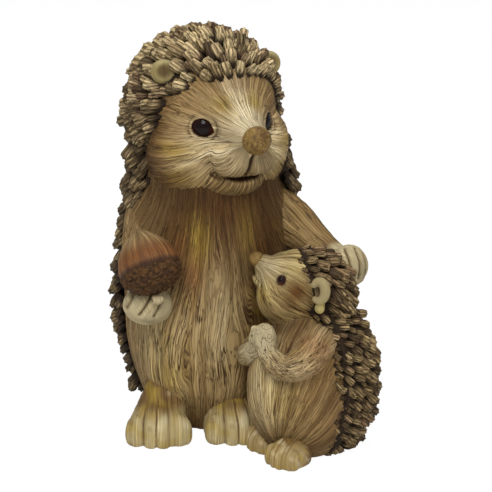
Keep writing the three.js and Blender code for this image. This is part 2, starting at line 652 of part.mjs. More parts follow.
function meshOf(name, solid, finish) {
  const mesh = solid.getMesh();
  const geometry = new THREE.BufferGeometry();
  geometry.setAttribute("position", new THREE.BufferAttribute(mesh.vertProperties, 3));
  geometry.setIndex(new THREE.BufferAttribute(mesh.triVerts, 1));
  geometry.computeVertexNormals();
  const [color, roughness, metalness] = finishes[finish];
  const result = new THREE.Mesh(geometry, new THREE.MeshStandardMaterial({ color, roughness, metalness }));
  result.name = name;
  return result;
}

// The figure, moved so that its origin lies on the ground under the middle of its bounding box
const figure = new THREE.Group();
for (const [name, [build, finish]] of Object.entries(pieces)) {
  figure.add(meshOf(name, mainBody(build()), finish));
}
const bounds = new THREE.Box3().setFromObject(figure);
const middle = bounds.getCenter(vec(0, 0, 0));
figure.position.set(-middle.x, -middle.y, -bounds.min.z);
const ornament = new THREE.Group();
ornament.add(figure);

export default ornament;
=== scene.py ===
"""Mother hedgehog with an acorn and her young: the painted resin garden ornament, dressed for display.

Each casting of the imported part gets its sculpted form, its carved fur and its painted finish here.
Sizes are millimetres in the figure's own layout, whose upright axis is the middle of the torso; each
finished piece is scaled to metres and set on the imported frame.
"""

import logging
import math
from collections.abc import Iterator, Sequence
from contextlib import contextmanager
from dataclasses import dataclass, field
from enum import Enum

import bpy
import numpy as np
from mathutils import Euler, Matrix, Vector, noise
from mathutils.bvhtree import BVHTree


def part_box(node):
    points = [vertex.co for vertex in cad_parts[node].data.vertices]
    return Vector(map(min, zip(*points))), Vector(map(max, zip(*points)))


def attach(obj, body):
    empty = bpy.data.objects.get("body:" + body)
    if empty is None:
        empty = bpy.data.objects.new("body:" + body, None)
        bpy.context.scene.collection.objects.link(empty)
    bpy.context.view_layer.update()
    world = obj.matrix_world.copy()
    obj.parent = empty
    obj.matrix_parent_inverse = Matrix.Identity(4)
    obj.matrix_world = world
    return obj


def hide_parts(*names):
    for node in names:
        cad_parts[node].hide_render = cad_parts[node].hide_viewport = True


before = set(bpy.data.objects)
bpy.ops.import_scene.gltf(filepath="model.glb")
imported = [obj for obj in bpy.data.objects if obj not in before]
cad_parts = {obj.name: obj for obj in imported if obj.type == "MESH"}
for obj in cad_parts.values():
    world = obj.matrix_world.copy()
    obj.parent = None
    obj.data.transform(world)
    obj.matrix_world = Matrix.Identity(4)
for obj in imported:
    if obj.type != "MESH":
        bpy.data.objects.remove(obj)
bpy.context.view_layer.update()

logging.basicConfig(level=logging.INFO, format="%(name)s: %(message)s")
log = logging.getLogger("ornament")

Point = tuple[float, float, float]
Pair = tuple[float, float]
Colour = tuple[float, float, float]
Array = np.ndarray

MILLIMETRE = 0.001
BODY = "root"
SEED = 20261

# How much slower a strand's noise runs along it than across
STRAND_STRETCH = 25.0


class Slot(Enum):
    """Names of material slots, one for each new piece's finish."""

    FUR = "fur_resin"
    PALE = "pale_resin"
    SPINE = "spine_resin"
    NOSE = "nose_resin"
    EYE = "eye_acrylic"
    NUT = "nut_resin"
    CUP = "cup_resin"


# Places and frames


def figure_to_frame() -> Matrix:
    """The transform from the figure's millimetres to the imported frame's metres."""
    low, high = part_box("base_plate")
    return Matrix.Translation(((low.x + high.x) / 2, (low.y + high.y) / 2, 0)) @ Matrix.Scale(MILLIMETRE, 4)


def placed(place: Point, turns: Point = (0, 0, 0)) -> Matrix:
    """A frame at a point, turned by degrees about X, then Y, then Z."""
    return Matrix.Translation(place) @ Euler([math.radians(turn) for turn in turns]).to_matrix().to_4x4()


HEAD = placed((-0.5, -3, 301), (0, 0, 17))
YOUNG = placed((73, -108, 0), (0, 0, -72))
YOUNG_HEAD = YOUNG @ placed((-11, 0, 151), (0, 0, -28)) @ placed((0, 0, 0), (-35, 0, 0))


def aimed(place: Point, direction: Point) -> Matrix:
    """A frame at a point whose +Z lies along a direction."""
    turn = Vector((0, 0, 1)).rotation_difference(Vector(direction).normalized())
    return Matrix.Translation(place) @ turn.to_matrix().to_4x4()


def moved(points: Array, matrix: Matrix) -> Array:
    """Points carried by a matrix."""
    full = np.array(matrix)
    return points @ full[:3, :3].T + full[:3, 3]


def unit(vectors: Array) -> Array:
    """Vectors scaled to length one."""
    return vectors / np.maximum(np.linalg.norm(vectors, axis=-1, keepdims=True), 1e-9)


def smoothstep(values: Array, low: float, high: float) -> Array:
    """A soft step from 0 at low to 1 at high."""
    share = np.clip((values - low) / (high - low), 0, 1)
    return share * share * (3 - 2 * share)


def bell(values: Array, width: float = 1.0) -> Array:
    """A soft bump: 1 where the values are 0, fading over a width to either side."""
    return np.exp(-((values / width) ** 2))


def away_from(points: Array, middle: Point, reach: Point = (1, 1, 1)) -> Array:
    """How far points are from a middle, counting each axis in units of its reach."""
    return np.linalg.norm((points - np.array(middle)) / np.array(reach), axis=1)


def fold(points: Array) -> Array:
    """Points with the right half laid over the left."""
    return np.column_stack([np.abs(points[:, 0]), points[:, 1], points[:, 2]])


def sided(place: Point, side: int) -> Point:
    """A place on the left, or its mirror image on the right where side is -1."""
    return (side * place[0], *place[1:])


def spline(points: Sequence[Sequence[float]], count: int) -> Array:
    """Samples of a smooth line through points.

    Args:
        points: The points that the line passes through.
        count: How many samples to take.

    Returns:
        The samples, one row each.
    """
    knots = np.asarray(points, float)
    ends = np.vstack([2 * knots[0] - knots[1], knots, 2 * knots[-1] - knots[-2]])
    at = np.linspace(0, len(knots) - 1, count)
    first = np.minimum(at.astype(int), len(knots) - 2)
    share = (at - first)[:, None]
    a, b, c, d = (ends[first + step] for step in range(4))
    return 0.5 * (2 * b + (c - a) * share + (2 * a - 5 * b + 4 * c - d) * share**2
                  + (3 * b - a - 3 * c + d) * share**3)


def distance_to_line(points: Array, line: Array) -> Array:
    """How far each point is from a line of short straight steps.

    Args:
        points: Where to measure.
        line: The line's points, in order.

    Returns:
        One distance for each point.
    """
    nearest = np.full(len(points), np.inf)
    for start, end in zip(line[:-1], line[1:]):
        step = end - start
        share = np.clip((points - start) @ step / max(step @ step, 1e-9), 0, 1)
        nearest = np.minimum(nearest, np.linalg.norm(points - start - share[:, None] * step, axis=1))
    return nearest


# Modelling by hand


def select_only(*objects: bpy.types.Object) -> None:
    """Selects some objects and nothing else; the last one is active.

    Args:
        objects: The objects to select.
    """
    bpy.ops.object.select_all(action="DESELECT")
    for obj in objects:
        obj.select_set(True)
    bpy.context.view_layer.objects.active = objects[-1]


@contextmanager
def editing(obj: bpy.types.Object) -> Iterator[None]:
    """Edit mode, with the whole of one object selected, while a block lasts.

    Args:
        obj: The object to edit.

    Yields:
        Nothing; the block itself runs in edit mode.
    """
    select_only(obj)
    bpy.ops.object.mode_set(mode="EDIT")
    bpy.ops.mesh.select_all(action="SELECT")
    yield
    bpy.ops.object.mode_set(mode="OBJECT")


def add_ball(place: Point, half: Point, matrix: Matrix = Matrix(), segments: int = 40) -> bpy.types.Object:
    """Adds an ellipsoid.

    Args:
        place: Its middle, in the matrix's frame.
        half: Its half widths.
        matrix: The frame that it stands in.
        segments: How many meridians it has.

    Returns:
        The new object, with its place in its mesh.
    """
    bpy.ops.object.select_all(action="DESELECT")
    bpy.ops.mesh.primitive_uv_sphere_add(segments=segments, ring_count=segments // 2, radius=1)
    obj = bpy.context.object
    obj.data.transform(matrix @ Matrix.Translation(place) @ Matrix.Diagonal((*half, 1)))
    return obj


def add_tube(line: Sequence[Point], radii: Sequence[float], matrix: Matrix = Matrix(),
             domed: bool = True) -> list[bpy.types.Object]:
    """Adds a round bar along a smooth line, whose radius changes smoothly.

    Args:
        line: Points that its middle passes through.
        radii: Its radius at steps of equal share along the line.
        matrix: The frame that it stands in.
        domed: Whether it ends in domes.

    Returns:
        The bar, and its domes.
    """
    count = 40
    centres = spline(line, count)
    girths = spline([[radius] for radius in radii], count)[:, 0]
    bpy.ops.object.select_all(action="DESELECT")
    bpy.ops.curve.primitive_nurbs_path_add()
    curve = bpy.context.object
    curve.data.splines.clear()
    path = curve.data.splines.new("POLY")
    path.points.add(count - 1)
    for point, centre, girth in zip(path.points, centres, girths):
        point.co = (*centre, 1)
        point.radius = girth
    curve.data.bevel_depth = 1
    curve.data.bevel_resolution = 8
    curve.data.use_fill_caps = True
    bpy.ops.object.convert(target="MESH")
    bar = bpy.context.object
    bar.data.transform(matrix)
    with editing(bar):
        bpy.ops.mesh.remove_doubles(threshold=1e-4)
        bpy.ops.mesh.normals_make_consistent(inside=False)
    if not domed:
        return [bar]
    ends = [(centres[0], girths[0]), (centres[-1], girths[-1])]
    return [bar, *(add_ball(tuple(centre), (girth,) * 3, matrix) for centre, girth in ends)]


def cut_at_ground(obj: bpy.types.Object) -> None:
    """Cuts off what lies below the ground, and closes the cut."""
    with editing(obj):
        bpy.ops.mesh.bisect(plane_co=(0, 0, 0), plane_no=(0, 0, 1), clear_inner=True, use_fill=True)


def apply(obj: bpy.types.Object, kind: str, **settings: float | int | str | bool) -> None:
    """Adds a modifier with its settings, and applies it.

    Args:
        obj: The object that takes it.
        kind: The modifier's type.
        settings: Its settings, by name.
    """
    select_only(obj)
    modifier = obj.modifiers.new(kind.lower(), kind)
    for name, value in settings.items():
        setattr(modifier, name, value)
    bpy.ops.object.modifier_apply(modifier=modifier.name)


def fuse(parts: Sequence[bpy.types.Object], name: str, voxel: float, smooth: int,
         ground: bool = False) -> bpy.types.Object:
    """Joins parts into one even skin, as clay is worked together.

    Args:
        parts: The closed parts, which overlap.
        name: The new object's name.
        voxel: The width of the skin's faces before they are halved.
        smooth: How many times the skin is smoothed.
        ground: Whether the parts are cut at the ground first.

    Returns:
        The skin, halved once.
    """
    for part in parts if ground else ():
        cut_at_ground(part)
    select_only(*parts)
    if len(parts) > 1:
        bpy.ops.object.join()
    obj = bpy.context.object
    obj.name = obj.data.name = name
    apply(obj, "REMESH", mode="VOXEL", voxel_size=voxel)
    apply(obj, "SMOOTH", factor=0.5, iterations=smooth)
    apply(obj, "SUBSURF", levels=1, render_levels=1)
    return obj


class Clay:
    """A skin while strokes shape it.

    Attributes:
        obj: The object being shaped.
        points: Its points, in the figure's millimetres.
        normals: Their outward normals.
    """

    def __init__(self, obj: bpy.types.Object) -> None:
        """Reads the object's mesh.

        Args:
            obj: The object to shape.
        """
        self.obj = obj
        self.points = np.empty(len(obj.data.vertices) * 3)
        obj.data.vertices.foreach_get("co", self.points)
        self.points = self.points.reshape(-1, 3)
        self.normals = np.empty((0, 3))
        self.set_down()

    def set_down(self) -> None:
        """Writes the points to the mesh, and works out the normals anew."""
        self.obj.data.vertices.foreach_set("co", self.points.ravel())
        self.obj.data.update()
        normals = np.empty(len(self.points) * 3)
        self.obj.data.vertex_normals.foreach_get("vector", normals)
        self.normals = normals.reshape(-1, 3)

    def within(self, matrix: Matrix) -> Array:
        """The points, in a frame's own coordinates."""
        return moved(self.points, matrix.inverted())

    def push(self, amounts: Array, way: Array | None = None) -> None:
        """Moves the points by amounts along their normals, or along a given way."""
        self.points = self.points + amounts[:, None] * (self.normals if way is None else way)
        self.set_down()

    def swell(self, place: Point, reach: float, rise: float, matrix: Matrix = Matrix()) -> None:
        """Raises a soft bump, or a dip where rise is negative."""
        self.push(rise * bell(away_from(self.within(matrix), place), reach))

    def averages(self, values: Array) -> Array:
        """The mean of each point's neighbours, for each column of values.

        Args:
            values: One row for each point.

        Returns:
            One row for each point.
        """
        edges = np.empty(len(self.obj.data.edges) * 2, int)
        self.obj.data.edges.foreach_get("vertices", edges)
        a, b = edges.reshape(-1, 2).T
        size = len(self.points)
        count = np.bincount(a, minlength=size) + np.bincount(b, minlength=size)
        columns = [np.bincount(a, values[b, k], size) + np.bincount(b, values[a, k], size)
                   for k in range(values.shape[1])]
        return np.stack(columns, axis=1) / np.maximum(count, 1)[:, None]

    def relief(self, times: int) -> Array:
        """How far each point lies below its smoothed surroundings; crests are negative.

        Args:
            times: How often the surroundings are smoothed.

        Returns:
            One depth for each point.
        """
        smooth = self.points
        for _ in range(times):
            smooth = self.averages(smooth)
        return ((smooth - self.points) * self.normals).sum(axis=1)

    def melt_into(self, other: BVHTree, reach: float) -> None:
        """Fills the crease where this skin meets another.

        Args:
            other: The other skin.
            reach: How far from the other skin the filling starts.
        """
        rise = np.zeros(len(self.points))
        for i, point in enumerate(self.points):
            spot, normal, _, away = other.find_nearest(Vector(point), reach)
            if spot is None:
                continue
            outside = (Vector(point) - spot).dot(normal) >= 0
            rise[i] = reach / 4 * ((reach - away) / reach) ** 2 if outside else reach / 4
        self.push(rise)

    def write(self, name: str, values: Array, kind: str = "FLOAT_VECTOR") -> None:
        """Writes an attribute of the points: a vector, a colour or a number.

        Args:
            name: The attribute's name.
            values: One value or row for each point.
            kind: The attribute's type.
        """
        layer = self.obj.data.attributes.new(name, kind, "POINT")
        if kind == "FLOAT_COLOR":
            values = np.hstack([values, np.ones((len(values), 1))])
        words = {"FLOAT_VECTOR": "vector", "FLOAT_COLOR": "color", "FLOAT": "value"}
        layer.data.foreach_set(words[kind], np.ascontiguousarray(values, np.float32).ravel())

    def tree(self) -> BVHTree:
        """A search tree of the skin, in the figure's millimetres."""
        return BVHTree.FromObject(self.obj, bpy.context.evaluated_depsgraph_get())


# Fur


def fan_grain(points: Array, centre: Point, axis: Point, girth: float) -> Array:
    """Grain that fans out over a form from one pole to the other.

    Args:
        points: The points, in the form's own frame.
        centre: The form's middle.
        axis: The way to the pole that the strands start from.
        girth: The form's radius, at which a unit across is a millimetre.

    Returns:
        Per point, two coordinates across the strands and one along them, which runs slowly.
    """
    away = points - np.array(centre)
    pole = unit(np.array(axis, float))
    height = away @ pole
    across = away - height[:, None] * pole
    along = np.arctan2(np.linalg.norm(across, axis=1), height) * girth
    return unit(across) * girth + pole * along[:, None] / STRAND_STRETCH


def limb_grain(points: Array, line: Sequence[Point], girth: float) -> Array:
    """Grain that runs along a limb.

    Args:
        points: The points, in the line's frame.
        line: Points on the limb's middle line.
        girth: The limb's radius.

    Returns:
        Coordinates as fan_grain gives.
    """
    steps = spline(line, 40)
    nearest = np.linalg.norm(points[:, None] - steps[None], axis=2).argmin(axis=1)
    tangents = unit(np.gradient(steps, axis=0))
    away = points - steps[nearest]
    across = away - (away * tangents[nearest]).sum(axis=1)[:, None] * tangents[nearest]
    lengths = np.concatenate([[0], np.cumsum(np.linalg.norm(np.diff(steps, axis=0), axis=1))])
    along = lengths[nearest] + (away * tangents[nearest]).sum(axis=1)
    whole = unit(np.array(line[-1]) - np.array(line[0]))
    return unit(across) * girth + whole * along[:, None] / STRAND_STRETCH


def noise_at(points: Array, spacing: float, shift: float = 0.0) -> Array:
    """Smooth noise from -1 to 1 at points, whose blobs are about a spacing wide."""
    step = Vector((shift, 2 * shift, -shift))
    return np.array([noise.noise(Vector(point) / spacing + step) for point in points])


def carve_fur(clay: Clay, grain: Array, spacing: float, depth: float, share: Array | float = 1.0) -> None:
    """Cuts the strands of the fur into a skin.

    Args:
        clay: The skin.
        grain: The strands' coordinates.
        spacing: About the width of a strand.
        depth: How deep the lines between strands are.
        share: How much of the depth each point gets.
    """
    wander = noise_at(clay.points, 22.0, 3.0)
    strands = noise_at(grain + wander[:, None] * 1.6, spacing * 1.5, 11.0)
    tufts = noise_at(grain, spacing * 5, 5.0)
    lines = bell(strands, 0.16)
    clay.push(share * depth * (0.8 * np.abs(strands) + 0.6 * tufts - 1.1 * lines))


@dataclass(frozen=True)
class Spray:
    """A soft cloud of paint.

    Attributes:
        place: Its middle.
        reach: Its half widths.
        colour: Its colour.
        strength: How much it covers at its middle.
    """

    place: Point
    reach: Point
    colour: Colour
    strength: float = 1.0


def coated(points: Array, colour: Colour) -> Array:
    """One colour at every point."""
    return np.tile(np.array(colour, float), (len(points), 1))


def sprayed(points: Array, base: Colour, sprays: Sequence[Spray]) -> Array:
    """The colour at each point, after clouds of paint over a base coat.

    Args:
        points: Where the colours are wanted.
        base: The base coat.
        sprays: The clouds, in the order they go on.

    Returns:
        One colour for each point.
    """
    colours = coated(points, base)
    for spray in sprays:
        share = spray.strength * bell(away_from(points, spray.place, spray.reach))
        colours = blend(colours, spray.colour, share)
    return colours


def blend(colours: Array, colour: Colour, share: Array) -> Array:
    """Colours mixed towards one colour by a share per point."""
    return colours + np.clip(share, 0, 1)[:, None] * (np.array(colour) - colours)


CREAM = (0.86, 0.73, 0.46)
PALE = (0.52, 0.41, 0.21)
TAN = (0.30, 0.20, 0.085)
OCHRE = (0.37, 0.26, 0.045)
BROWN = (0.115, 0.055, 0.016)
RUST = (0.24, 0.10, 0.032)
UMBER = (0.042, 0.019, 0.006)


# Finishes


class Value:
    """A socket of a material, in which sums are written as Python expressions."""

    def __init__(self, paint: "Paint", socket: bpy.types.NodeSocket) -> None:
        """Wraps a socket of a paint."""
        self.paint = paint
        self.socket = socket

    def __add__(self, other: "Value | float") -> "Value":
        """The sum."""
        return self.paint.math("ADD", self, other)

    def __sub__(self, other: "Value | float") -> "Value":
        """The difference."""
        return self.paint.math("SUBTRACT", self, other)

    def __rsub__(self, other: float) -> "Value":
        """The difference from a number."""
        return self.paint.math("SUBTRACT", other, self)

    def __mul__(self, other: "Value | float") -> "Value":
        """The product."""
        return self.paint.math("MULTIPLY", self, other)

    def __abs__(self) -> "Value":
        """The size without its sign."""
        return self.paint.math("ABSOLUTE", self)

    __radd__ = __add__
    __rmul__ = __mul__


class Paint:
    """A material, or a world's light, under construction: its nodes, and the values that they give."""

    def __init__(self, name: str, world: bpy.types.World | None = None) -> None:
        """Starts an empty material, or empties a world.

        Args:
            name: The material's name.
            world: The world to empty instead.
        """
        self.owner = world or bpy.data.materials.new(name)
        self.owner.use_nodes = True
        self.tree = self.owner.node_tree
        self.tree.nodes.clear()

    def node(self, kind: str, settings: dict | None = None, inputs: dict | None = None,
             output: int | str = 0) -> Value:
        """Adds a node.

        Args:
            kind: The node's type.
            settings: Its properties.
            inputs: What its sockets get, by name or number: a Value, a number, a colour or a vector.
            output: The output socket that is wanted.

        Returns:
            The output's value.
        """
        made = self.tree.nodes.new(kind)
        for name, setting in (settings or {}).items():
            setattr(made, name, setting)
        for name, given in (inputs or {}).items():
            if isinstance(given, Value):
                self.tree.links.new(given.socket, made.inputs[name])
            elif isinstance(given, tuple) and made.inputs[name].type == "RGBA":
                made.inputs[name].default_value = (*given, 1)
            else:
                made.inputs[name].default_value = given
        return Value(self, made.outputs[output])

    def math(self, operation: str, *values: Value | float) -> Value:
        """Adds a sum on values."""
        return self.node("ShaderNodeMath", {"operation": operation}, dict(enumerate(values)))

    def mix(self, share: Value | float, first: Value | Colour, second: Value | Colour,
            way: str = "MIX") -> Value:
        """Mixes two colours by a share."""
        settings = {"data_type": "RGBA", "blend_type": way, "clamp_factor": True}
        return self.node("ShaderNodeMix", settings, {0: share, 6: first, 7: second}, 2)

    def attribute(self, name: str, output: str) -> Value:
        """Reads an attribute of the piece's points."""
        return self.node("ShaderNodeAttribute", {"attribute_name": name}, None, output)

    def here(self) -> Value:
        """The point's place on the object, in metres."""
        return self.node("ShaderNodeTexCoord", None, None, "Object")

    def noise(self, at: Value, scale: float, detail: float = 2.0, rough: float = 0.5) -> Value:
        """Smooth noise about 0.5."""
        inputs = {"Vector": at, "Scale": scale, "Detail": detail, "Roughness": rough}
        return self.node("ShaderNodeTexNoise", None, inputs, "Fac")

    def step(self, value: Value, low: float, high: float) -> Value:
        """A soft step from 0 at low to 1 at high."""
        inputs = {"Value": value, "From Min": low, "From Max": high}
        return self.node("ShaderNodeMapRange", {"interpolation_type": "SMOOTHSTEP"}, inputs)

    def jittered(self, at: Value, by: Value, amount: float) -> Value:
        """A place moved by a colour's worth of noise."""
        moved_by = self.node("ShaderNodeVectorMath", {"operation": "SCALE"}, {0: by, "Scale": amount})
        return self.node("ShaderNodeVectorMath", {"operation": "ADD"}, {0: at, 1: moved_by})

    def wobble(self, at: Value, scale: float) -> Value:
        """Noise as a vector."""
        inputs = {"Vector": at, "Scale": scale, "Detail": 1.0}
        return self.node("ShaderNodeTexNoise", None, inputs, "Color")

    def tinted(self, wash: Value, by: Colour) -> Value:
        """A wash multiplied by a colour."""
        return self.mix(1.0, wash, by, "MULTIPLY")

    def lines_in(self, cloud: Value, width: float) -> Value:
        """Thin lines where a noise crosses its middle."""
        return 1 - self.step(abs(cloud - 0.5), 0.0, width)

    def bump(self, height: Value, distance: float) -> Value:
        """A normal from a height, whose unit is a distance in metres."""
        inputs = {"Height": height, "Distance": distance, "Strength": 1.0}
        return self.node("ShaderNodeBump", None, inputs)

    def surface(self, **inputs: Value | float | Colour) -> bpy.types.Material:
        """Ends the material with a surface.

        Args:
            inputs: The surface's sockets, with _ for spaces.

        Returns:
            The finished material.
        """
        named = {name.replace("_", " "): value for name, value in inputs.items()}
        return self.end(self.node("ShaderNodeBsdfPrincipled", None, named))

    def end(self, value: Value, kind: str = "ShaderNodeOutputMaterial") -> bpy.types.ID:
        """Ends the nodes with an output, which takes a shader, and gives the material or the world.

        Args:
            value: The shader.
            kind: The output node's type.

        Returns:
            The material or the world.
        """
        out = self.tree.nodes.new(kind)
        self.tree.links.new(value.socket, out.inputs["Surface"])
        return self.owner


@dataclass(frozen=True)
class FurPaint:
    """Carved fur: washes of colour with dark lines rubbed into the carving, and painted shade in its hollows.

    Attributes:
        name: The material's name.
        strand: The width of a strand, in millimetres.
        depth: How deep the fine carving is, in millimetres.
        ink: The colour in the lines, and of the painted shade in the carving's hollows.
        ink_share: How strongly the lines are inked.
    """

    name: str
    strand: float = 1.5
    depth: float = 0.45
    ink: Colour = (0.05, 0.024, 0.009)
    ink_share: float = 0.9

    def build(self) -> bpy.types.Material:
        """Builds the material.

        Returns:
            The finished material.
        """
        paint = Paint(self.name)
        here = paint.here()
        grain = paint.attribute("grain", "Vector")
        wash = paint.attribute("wash", "Color")
        relief = paint.attribute("relief", "Fac")
        flow = paint.jittered(grain, paint.wobble(here, 40.0), 1.6)
        broad = paint.noise(flow, 0.42 / self.strand, 1.0)
        fine = paint.noise(flow, 1.0 / self.strand, 2.0, 0.6)
        streaks = paint.noise(grain, 0.16 / self.strand, 3.0, 0.6)
        patches = paint.noise(here, 28.0, 3.0)
        broad_lines = paint.lines_in(broad, 0.04)
        fine_lines = paint.lines_in(fine, 0.065)
        bare = paint.attribute("bare", "Fac")
        patchy = paint.step(patches, 0.36, 0.62)
        colour = paint.mix(paint.step(streaks, 0.36, 0.66), paint.tinted(wash, (0.76, 0.69, 0.58)),
                           paint.tinted(wash, (1.2, 1.2, 1.21)))
        colour = paint.mix(bare * 0.85, colour, wash)
        golden = paint.step(patches, 0.55, 0.75) * 0.28
        colour = paint.mix(golden, colour, paint.tinted(wash, (1.05, 0.95, 0.5)))
        crest = paint.step(relief * -1, 0.05, 0.45) * paint.step(fine, 0.45, 0.65)
        colour = paint.mix(crest * 0.5, colour, paint.tinted(wash, (1.75, 1.75, 1.7)))
        inked = broad_lines * (0.3 + 0.5 * patchy) + fine_lines * (0.55 + 0.35 * patchy)
        colour = paint.mix(inked * self.ink_share * (1 - bare * 0.85), colour, self.ink)
        # The carving's hollows take the ink: partly the wash that settles there, partly painted shade.
        colour = paint.mix(paint.step(relief, 0.08, 0.9) * 0.75, colour, self.ink)
        height = abs(fine - 0.5) * 1.6 - fine_lines * 0.35 - broad_lines * 0.8 + broad * 0.6
        return paint.surface(
            Base_Color=colour, Roughness=0.6 + 0.22 * fine, Specular_IOR_Level=0.15,
            Normal=paint.bump(height, self.depth * MILLIMETRE))


@dataclass(frozen=True)
class SpinePaint:
    """Spines: dark, ridged, and dry-brushed in pale tan on their crests and tips.

    Attributes:
        name: The material's name.
        dark: The base coat.
        mid: The colour of a spine's upper side.
        light: The colour brushed on the crests.
        warm: A reddish wash on some spines.
    """

    name: str
    dark: Colour = (0.024, 0.014, 0.007)
    mid: Colour = (0.25, 0.165, 0.07)
    light: Colour = (0.86, 0.67, 0.36)
    warm: Colour = (0.24, 0.12, 0.07)

    def build(self) -> bpy.types.Material:
        """Builds the material. The spine attribute holds tone, length from the root, and crest, which is low
        on a spine's underside so that it is painted in shade.

        Returns:
            The finished material.
        """
        paint = Paint(self.name)
        here = paint.here()
        grain = paint.attribute("grain", "Vector")
        parts = paint.node("ShaderNodeSeparateColor", None, {"Color": paint.attribute("spine", "Color")})
        tone, along, crest = (Value(paint, parts.socket.node.outputs[k]) for k in range(3))
        fine = paint.noise(grain, 0.75, 2.0, 0.6)
        broad = paint.noise(grain, 0.34, 2.0)
        lines = paint.lines_in(fine, 0.05)
        clefts = paint.lines_in(broad, 0.05)
        patches = paint.noise(here, 60.0, 2.0)
        warmth = paint.noise(here, 42.0, 1.0)
        colour = paint.mix(paint.step(warmth, 0.52, 0.62) * 0.7, self.mid, self.warm)
        colour = paint.mix(paint.step(tone, 0.5, 1.5) * 0.55, colour, self.light)
        colour = paint.mix(paint.step(tone, 0.55, 0.0) * 0.75, colour, self.dark)
        # Painted shade at the roots, where the spines overlap, over the dark base coat.
        colour = paint.mix(paint.step(along, 0.6, 0.2), colour, self.dark)
        # Painted shade in the valleys between the ridges and on each spine's underside.
        colour = paint.mix(paint.step(crest, 0.5, 0.05) * 0.62, colour, self.dark)
        brushed = crest * paint.step(along, 0.25, 0.7) * paint.step(patches * 0.6 + broad, 0.55, 0.9)
        colour = paint.mix(brushed * (0.12 + 0.88 * paint.step(tone, 0.0, 0.75)), colour, self.light)
        colour = paint.mix(lines * 0.55, colour, self.dark)
        colour = paint.mix(clefts * 0.8, colour, self.dark)
        height = broad * 1.6 + abs(fine - 0.5) * 1.4 - clefts * 0.7
        return paint.surface(
            Base_Color=colour, Roughness=0.6 + 0.2 * fine, Normal=paint.bump(height, 0.8 * MILLIMETRE),
            Specular_IOR_Level=0.15)


@dataclass(frozen=True)
class MottledPaint:
    """A plain form with a mottled coat, such as a nose or the acorn's cup.

    Attributes:
        name: The material's name.
        base: The main colour.
        blotch: The colour of its blotches.
        light: The colour brushed on its crests.
        scale: How many blotches there are to a metre.
        grit: How deep its fine roughness is, in millimetres.
        gloss: The share of its surface that is smooth.
    """

    name: str
    base: Colour
    blotch: Colour
    light: Colour
    scale: float = 120.0
    grit: float = 0.25
    gloss: float = 0.4

    def build(self) -> bpy.types.Material:
        """Builds the material.

        Returns:
            The finished material.
        """
        paint = Paint(self.name)
        here = paint.here()
        blotches = paint.noise(here, self.scale, 4.0, 0.62)
        grains = paint.noise(here, self.scale * 6, 3.0, 0.6)
        colour = paint.mix(paint.step(blotches, 0.42, 0.6), self.base, self.blotch)
        colour = paint.mix(paint.step(grains, 0.52, 0.7) * 0.45, colour, self.light)
        colour = paint.mix(paint.step(grains, 0.46, 0.34) * 0.5, colour, tuple(c * 0.35 for c in self.blotch))
        height = grains + blotches * 0.8
        return paint.surface(
            Base_Color=colour, Roughness=(0.85 - self.gloss * 0.8) + 0.2 * grains,
            Normal=paint.bump(height, self.grit * MILLIMETRE), Specular_IOR_Level=0.2)


@dataclass(frozen=True)
class GrainedPaint:
    """Washed colour with fine grain lines, for the acorn's nut.

    Attributes:
        name: The material's name.
        ink: The colour in the lines.
        lines_to_mm: How many lines there are to a millimetre.
    """

    name: str
    ink: Colour = (0.06, 0.025, 0.01)
    lines_to_mm: float = 0.8

    def build(self) -> bpy.types.Material:
        """Builds the material.

        Returns:
            The finished material.
        """
        paint = Paint(self.name)
        grain = paint.attribute("grain", "Vector")
        wash = paint.attribute("wash", "Color")
        relief = paint.attribute("relief", "Fac")
        fine = paint.noise(grain, self.lines_to_mm, 3.0, 0.6)
        streaks = paint.noise(grain, self.lines_to_mm * 0.2, 2.0)
        lines = paint.lines_in(fine, 0.06)
        colour = paint.mix(paint.step(streaks, 0.35, 0.65), paint.tinted(wash, (0.68, 0.6, 0.55)),
                           paint.tinted(wash, (1.25, 1.25, 1.25)))
        colour = paint.mix(lines * 0.7, colour, self.ink)
        # The nut's hollows take the ink: the wash that settles there, and painted shade.
        colour = paint.mix(paint.step(relief, 0.05, 0.8) * 0.7, colour, self.ink)
        return paint.surface(
            Base_Color=colour, Roughness=0.46 + 0.25 * fine, Specular_IOR_Level=0.25,
            Normal=paint.bump(abs(fine - 0.5) * 1.5 - lines * 0.5, 0.3 * MILLIMETRE))


@dataclass(frozen=True)
class EyeGloss:
    """A glossy acrylic eye; the wash attribute gives its pupil and iris.

    Attributes:
        name: The material's name.
    """

    name: str = "glossy_eye"

    def build(self) -> bpy.types.Material:
        """Builds the material.

        Returns:
            The finished material.
        """
        paint = Paint(self.name)
        wash = paint.attribute("wash", "Color")
        rays = paint.noise(paint.attribute("grain", "Vector"), 3.0, 2.0)
        colour = paint.mix(paint.step(rays, 0.4, 0.7) * 0.4, wash, paint.tinted(wash, (1.8, 1.5, 1.4)))
        return paint.surface(Base_Color=colour, Roughness=0.06 + 0.03 * rays, Specular_IOR_Level=0.12)


@dataclass(frozen=True)
class PlainCoat:
    """A hidden part's finish: a flat colour with wear and a fine texture.

    Attributes:
        name: The material's name.
        colour: Its colour.
        wear: The colour of its wear.
        roughness: How rough it is.
        metal: 1 where it is bare metal.
    """

    name: str
    colour: Colour
    wear: Colour
    roughness: float
    metal: float = 0.0

    def build(self) -> bpy.types.Material:
        """Builds the material.

        Returns:
            The finished material.
        """
        paint = Paint(self.name)
        here = paint.here()
        cloud = paint.noise(here, 90.0, 4.0)
        grit = paint.noise(here, 900.0, 2.0)
        colour = paint.mix(paint.step(cloud, 0.4, 0.7) * 0.5, self.colour, self.wear)
        return paint.surface(
            Base_Color=colour, Metallic=self.metal, Roughness=self.roughness - 0.1 + 0.2 * grit,
            Normal=paint.bump(grit, 0.1 * MILLIMETRE))


Finish = FurPaint | SpinePaint | MottledPaint | GrainedPaint | EyeGloss | PlainCoat

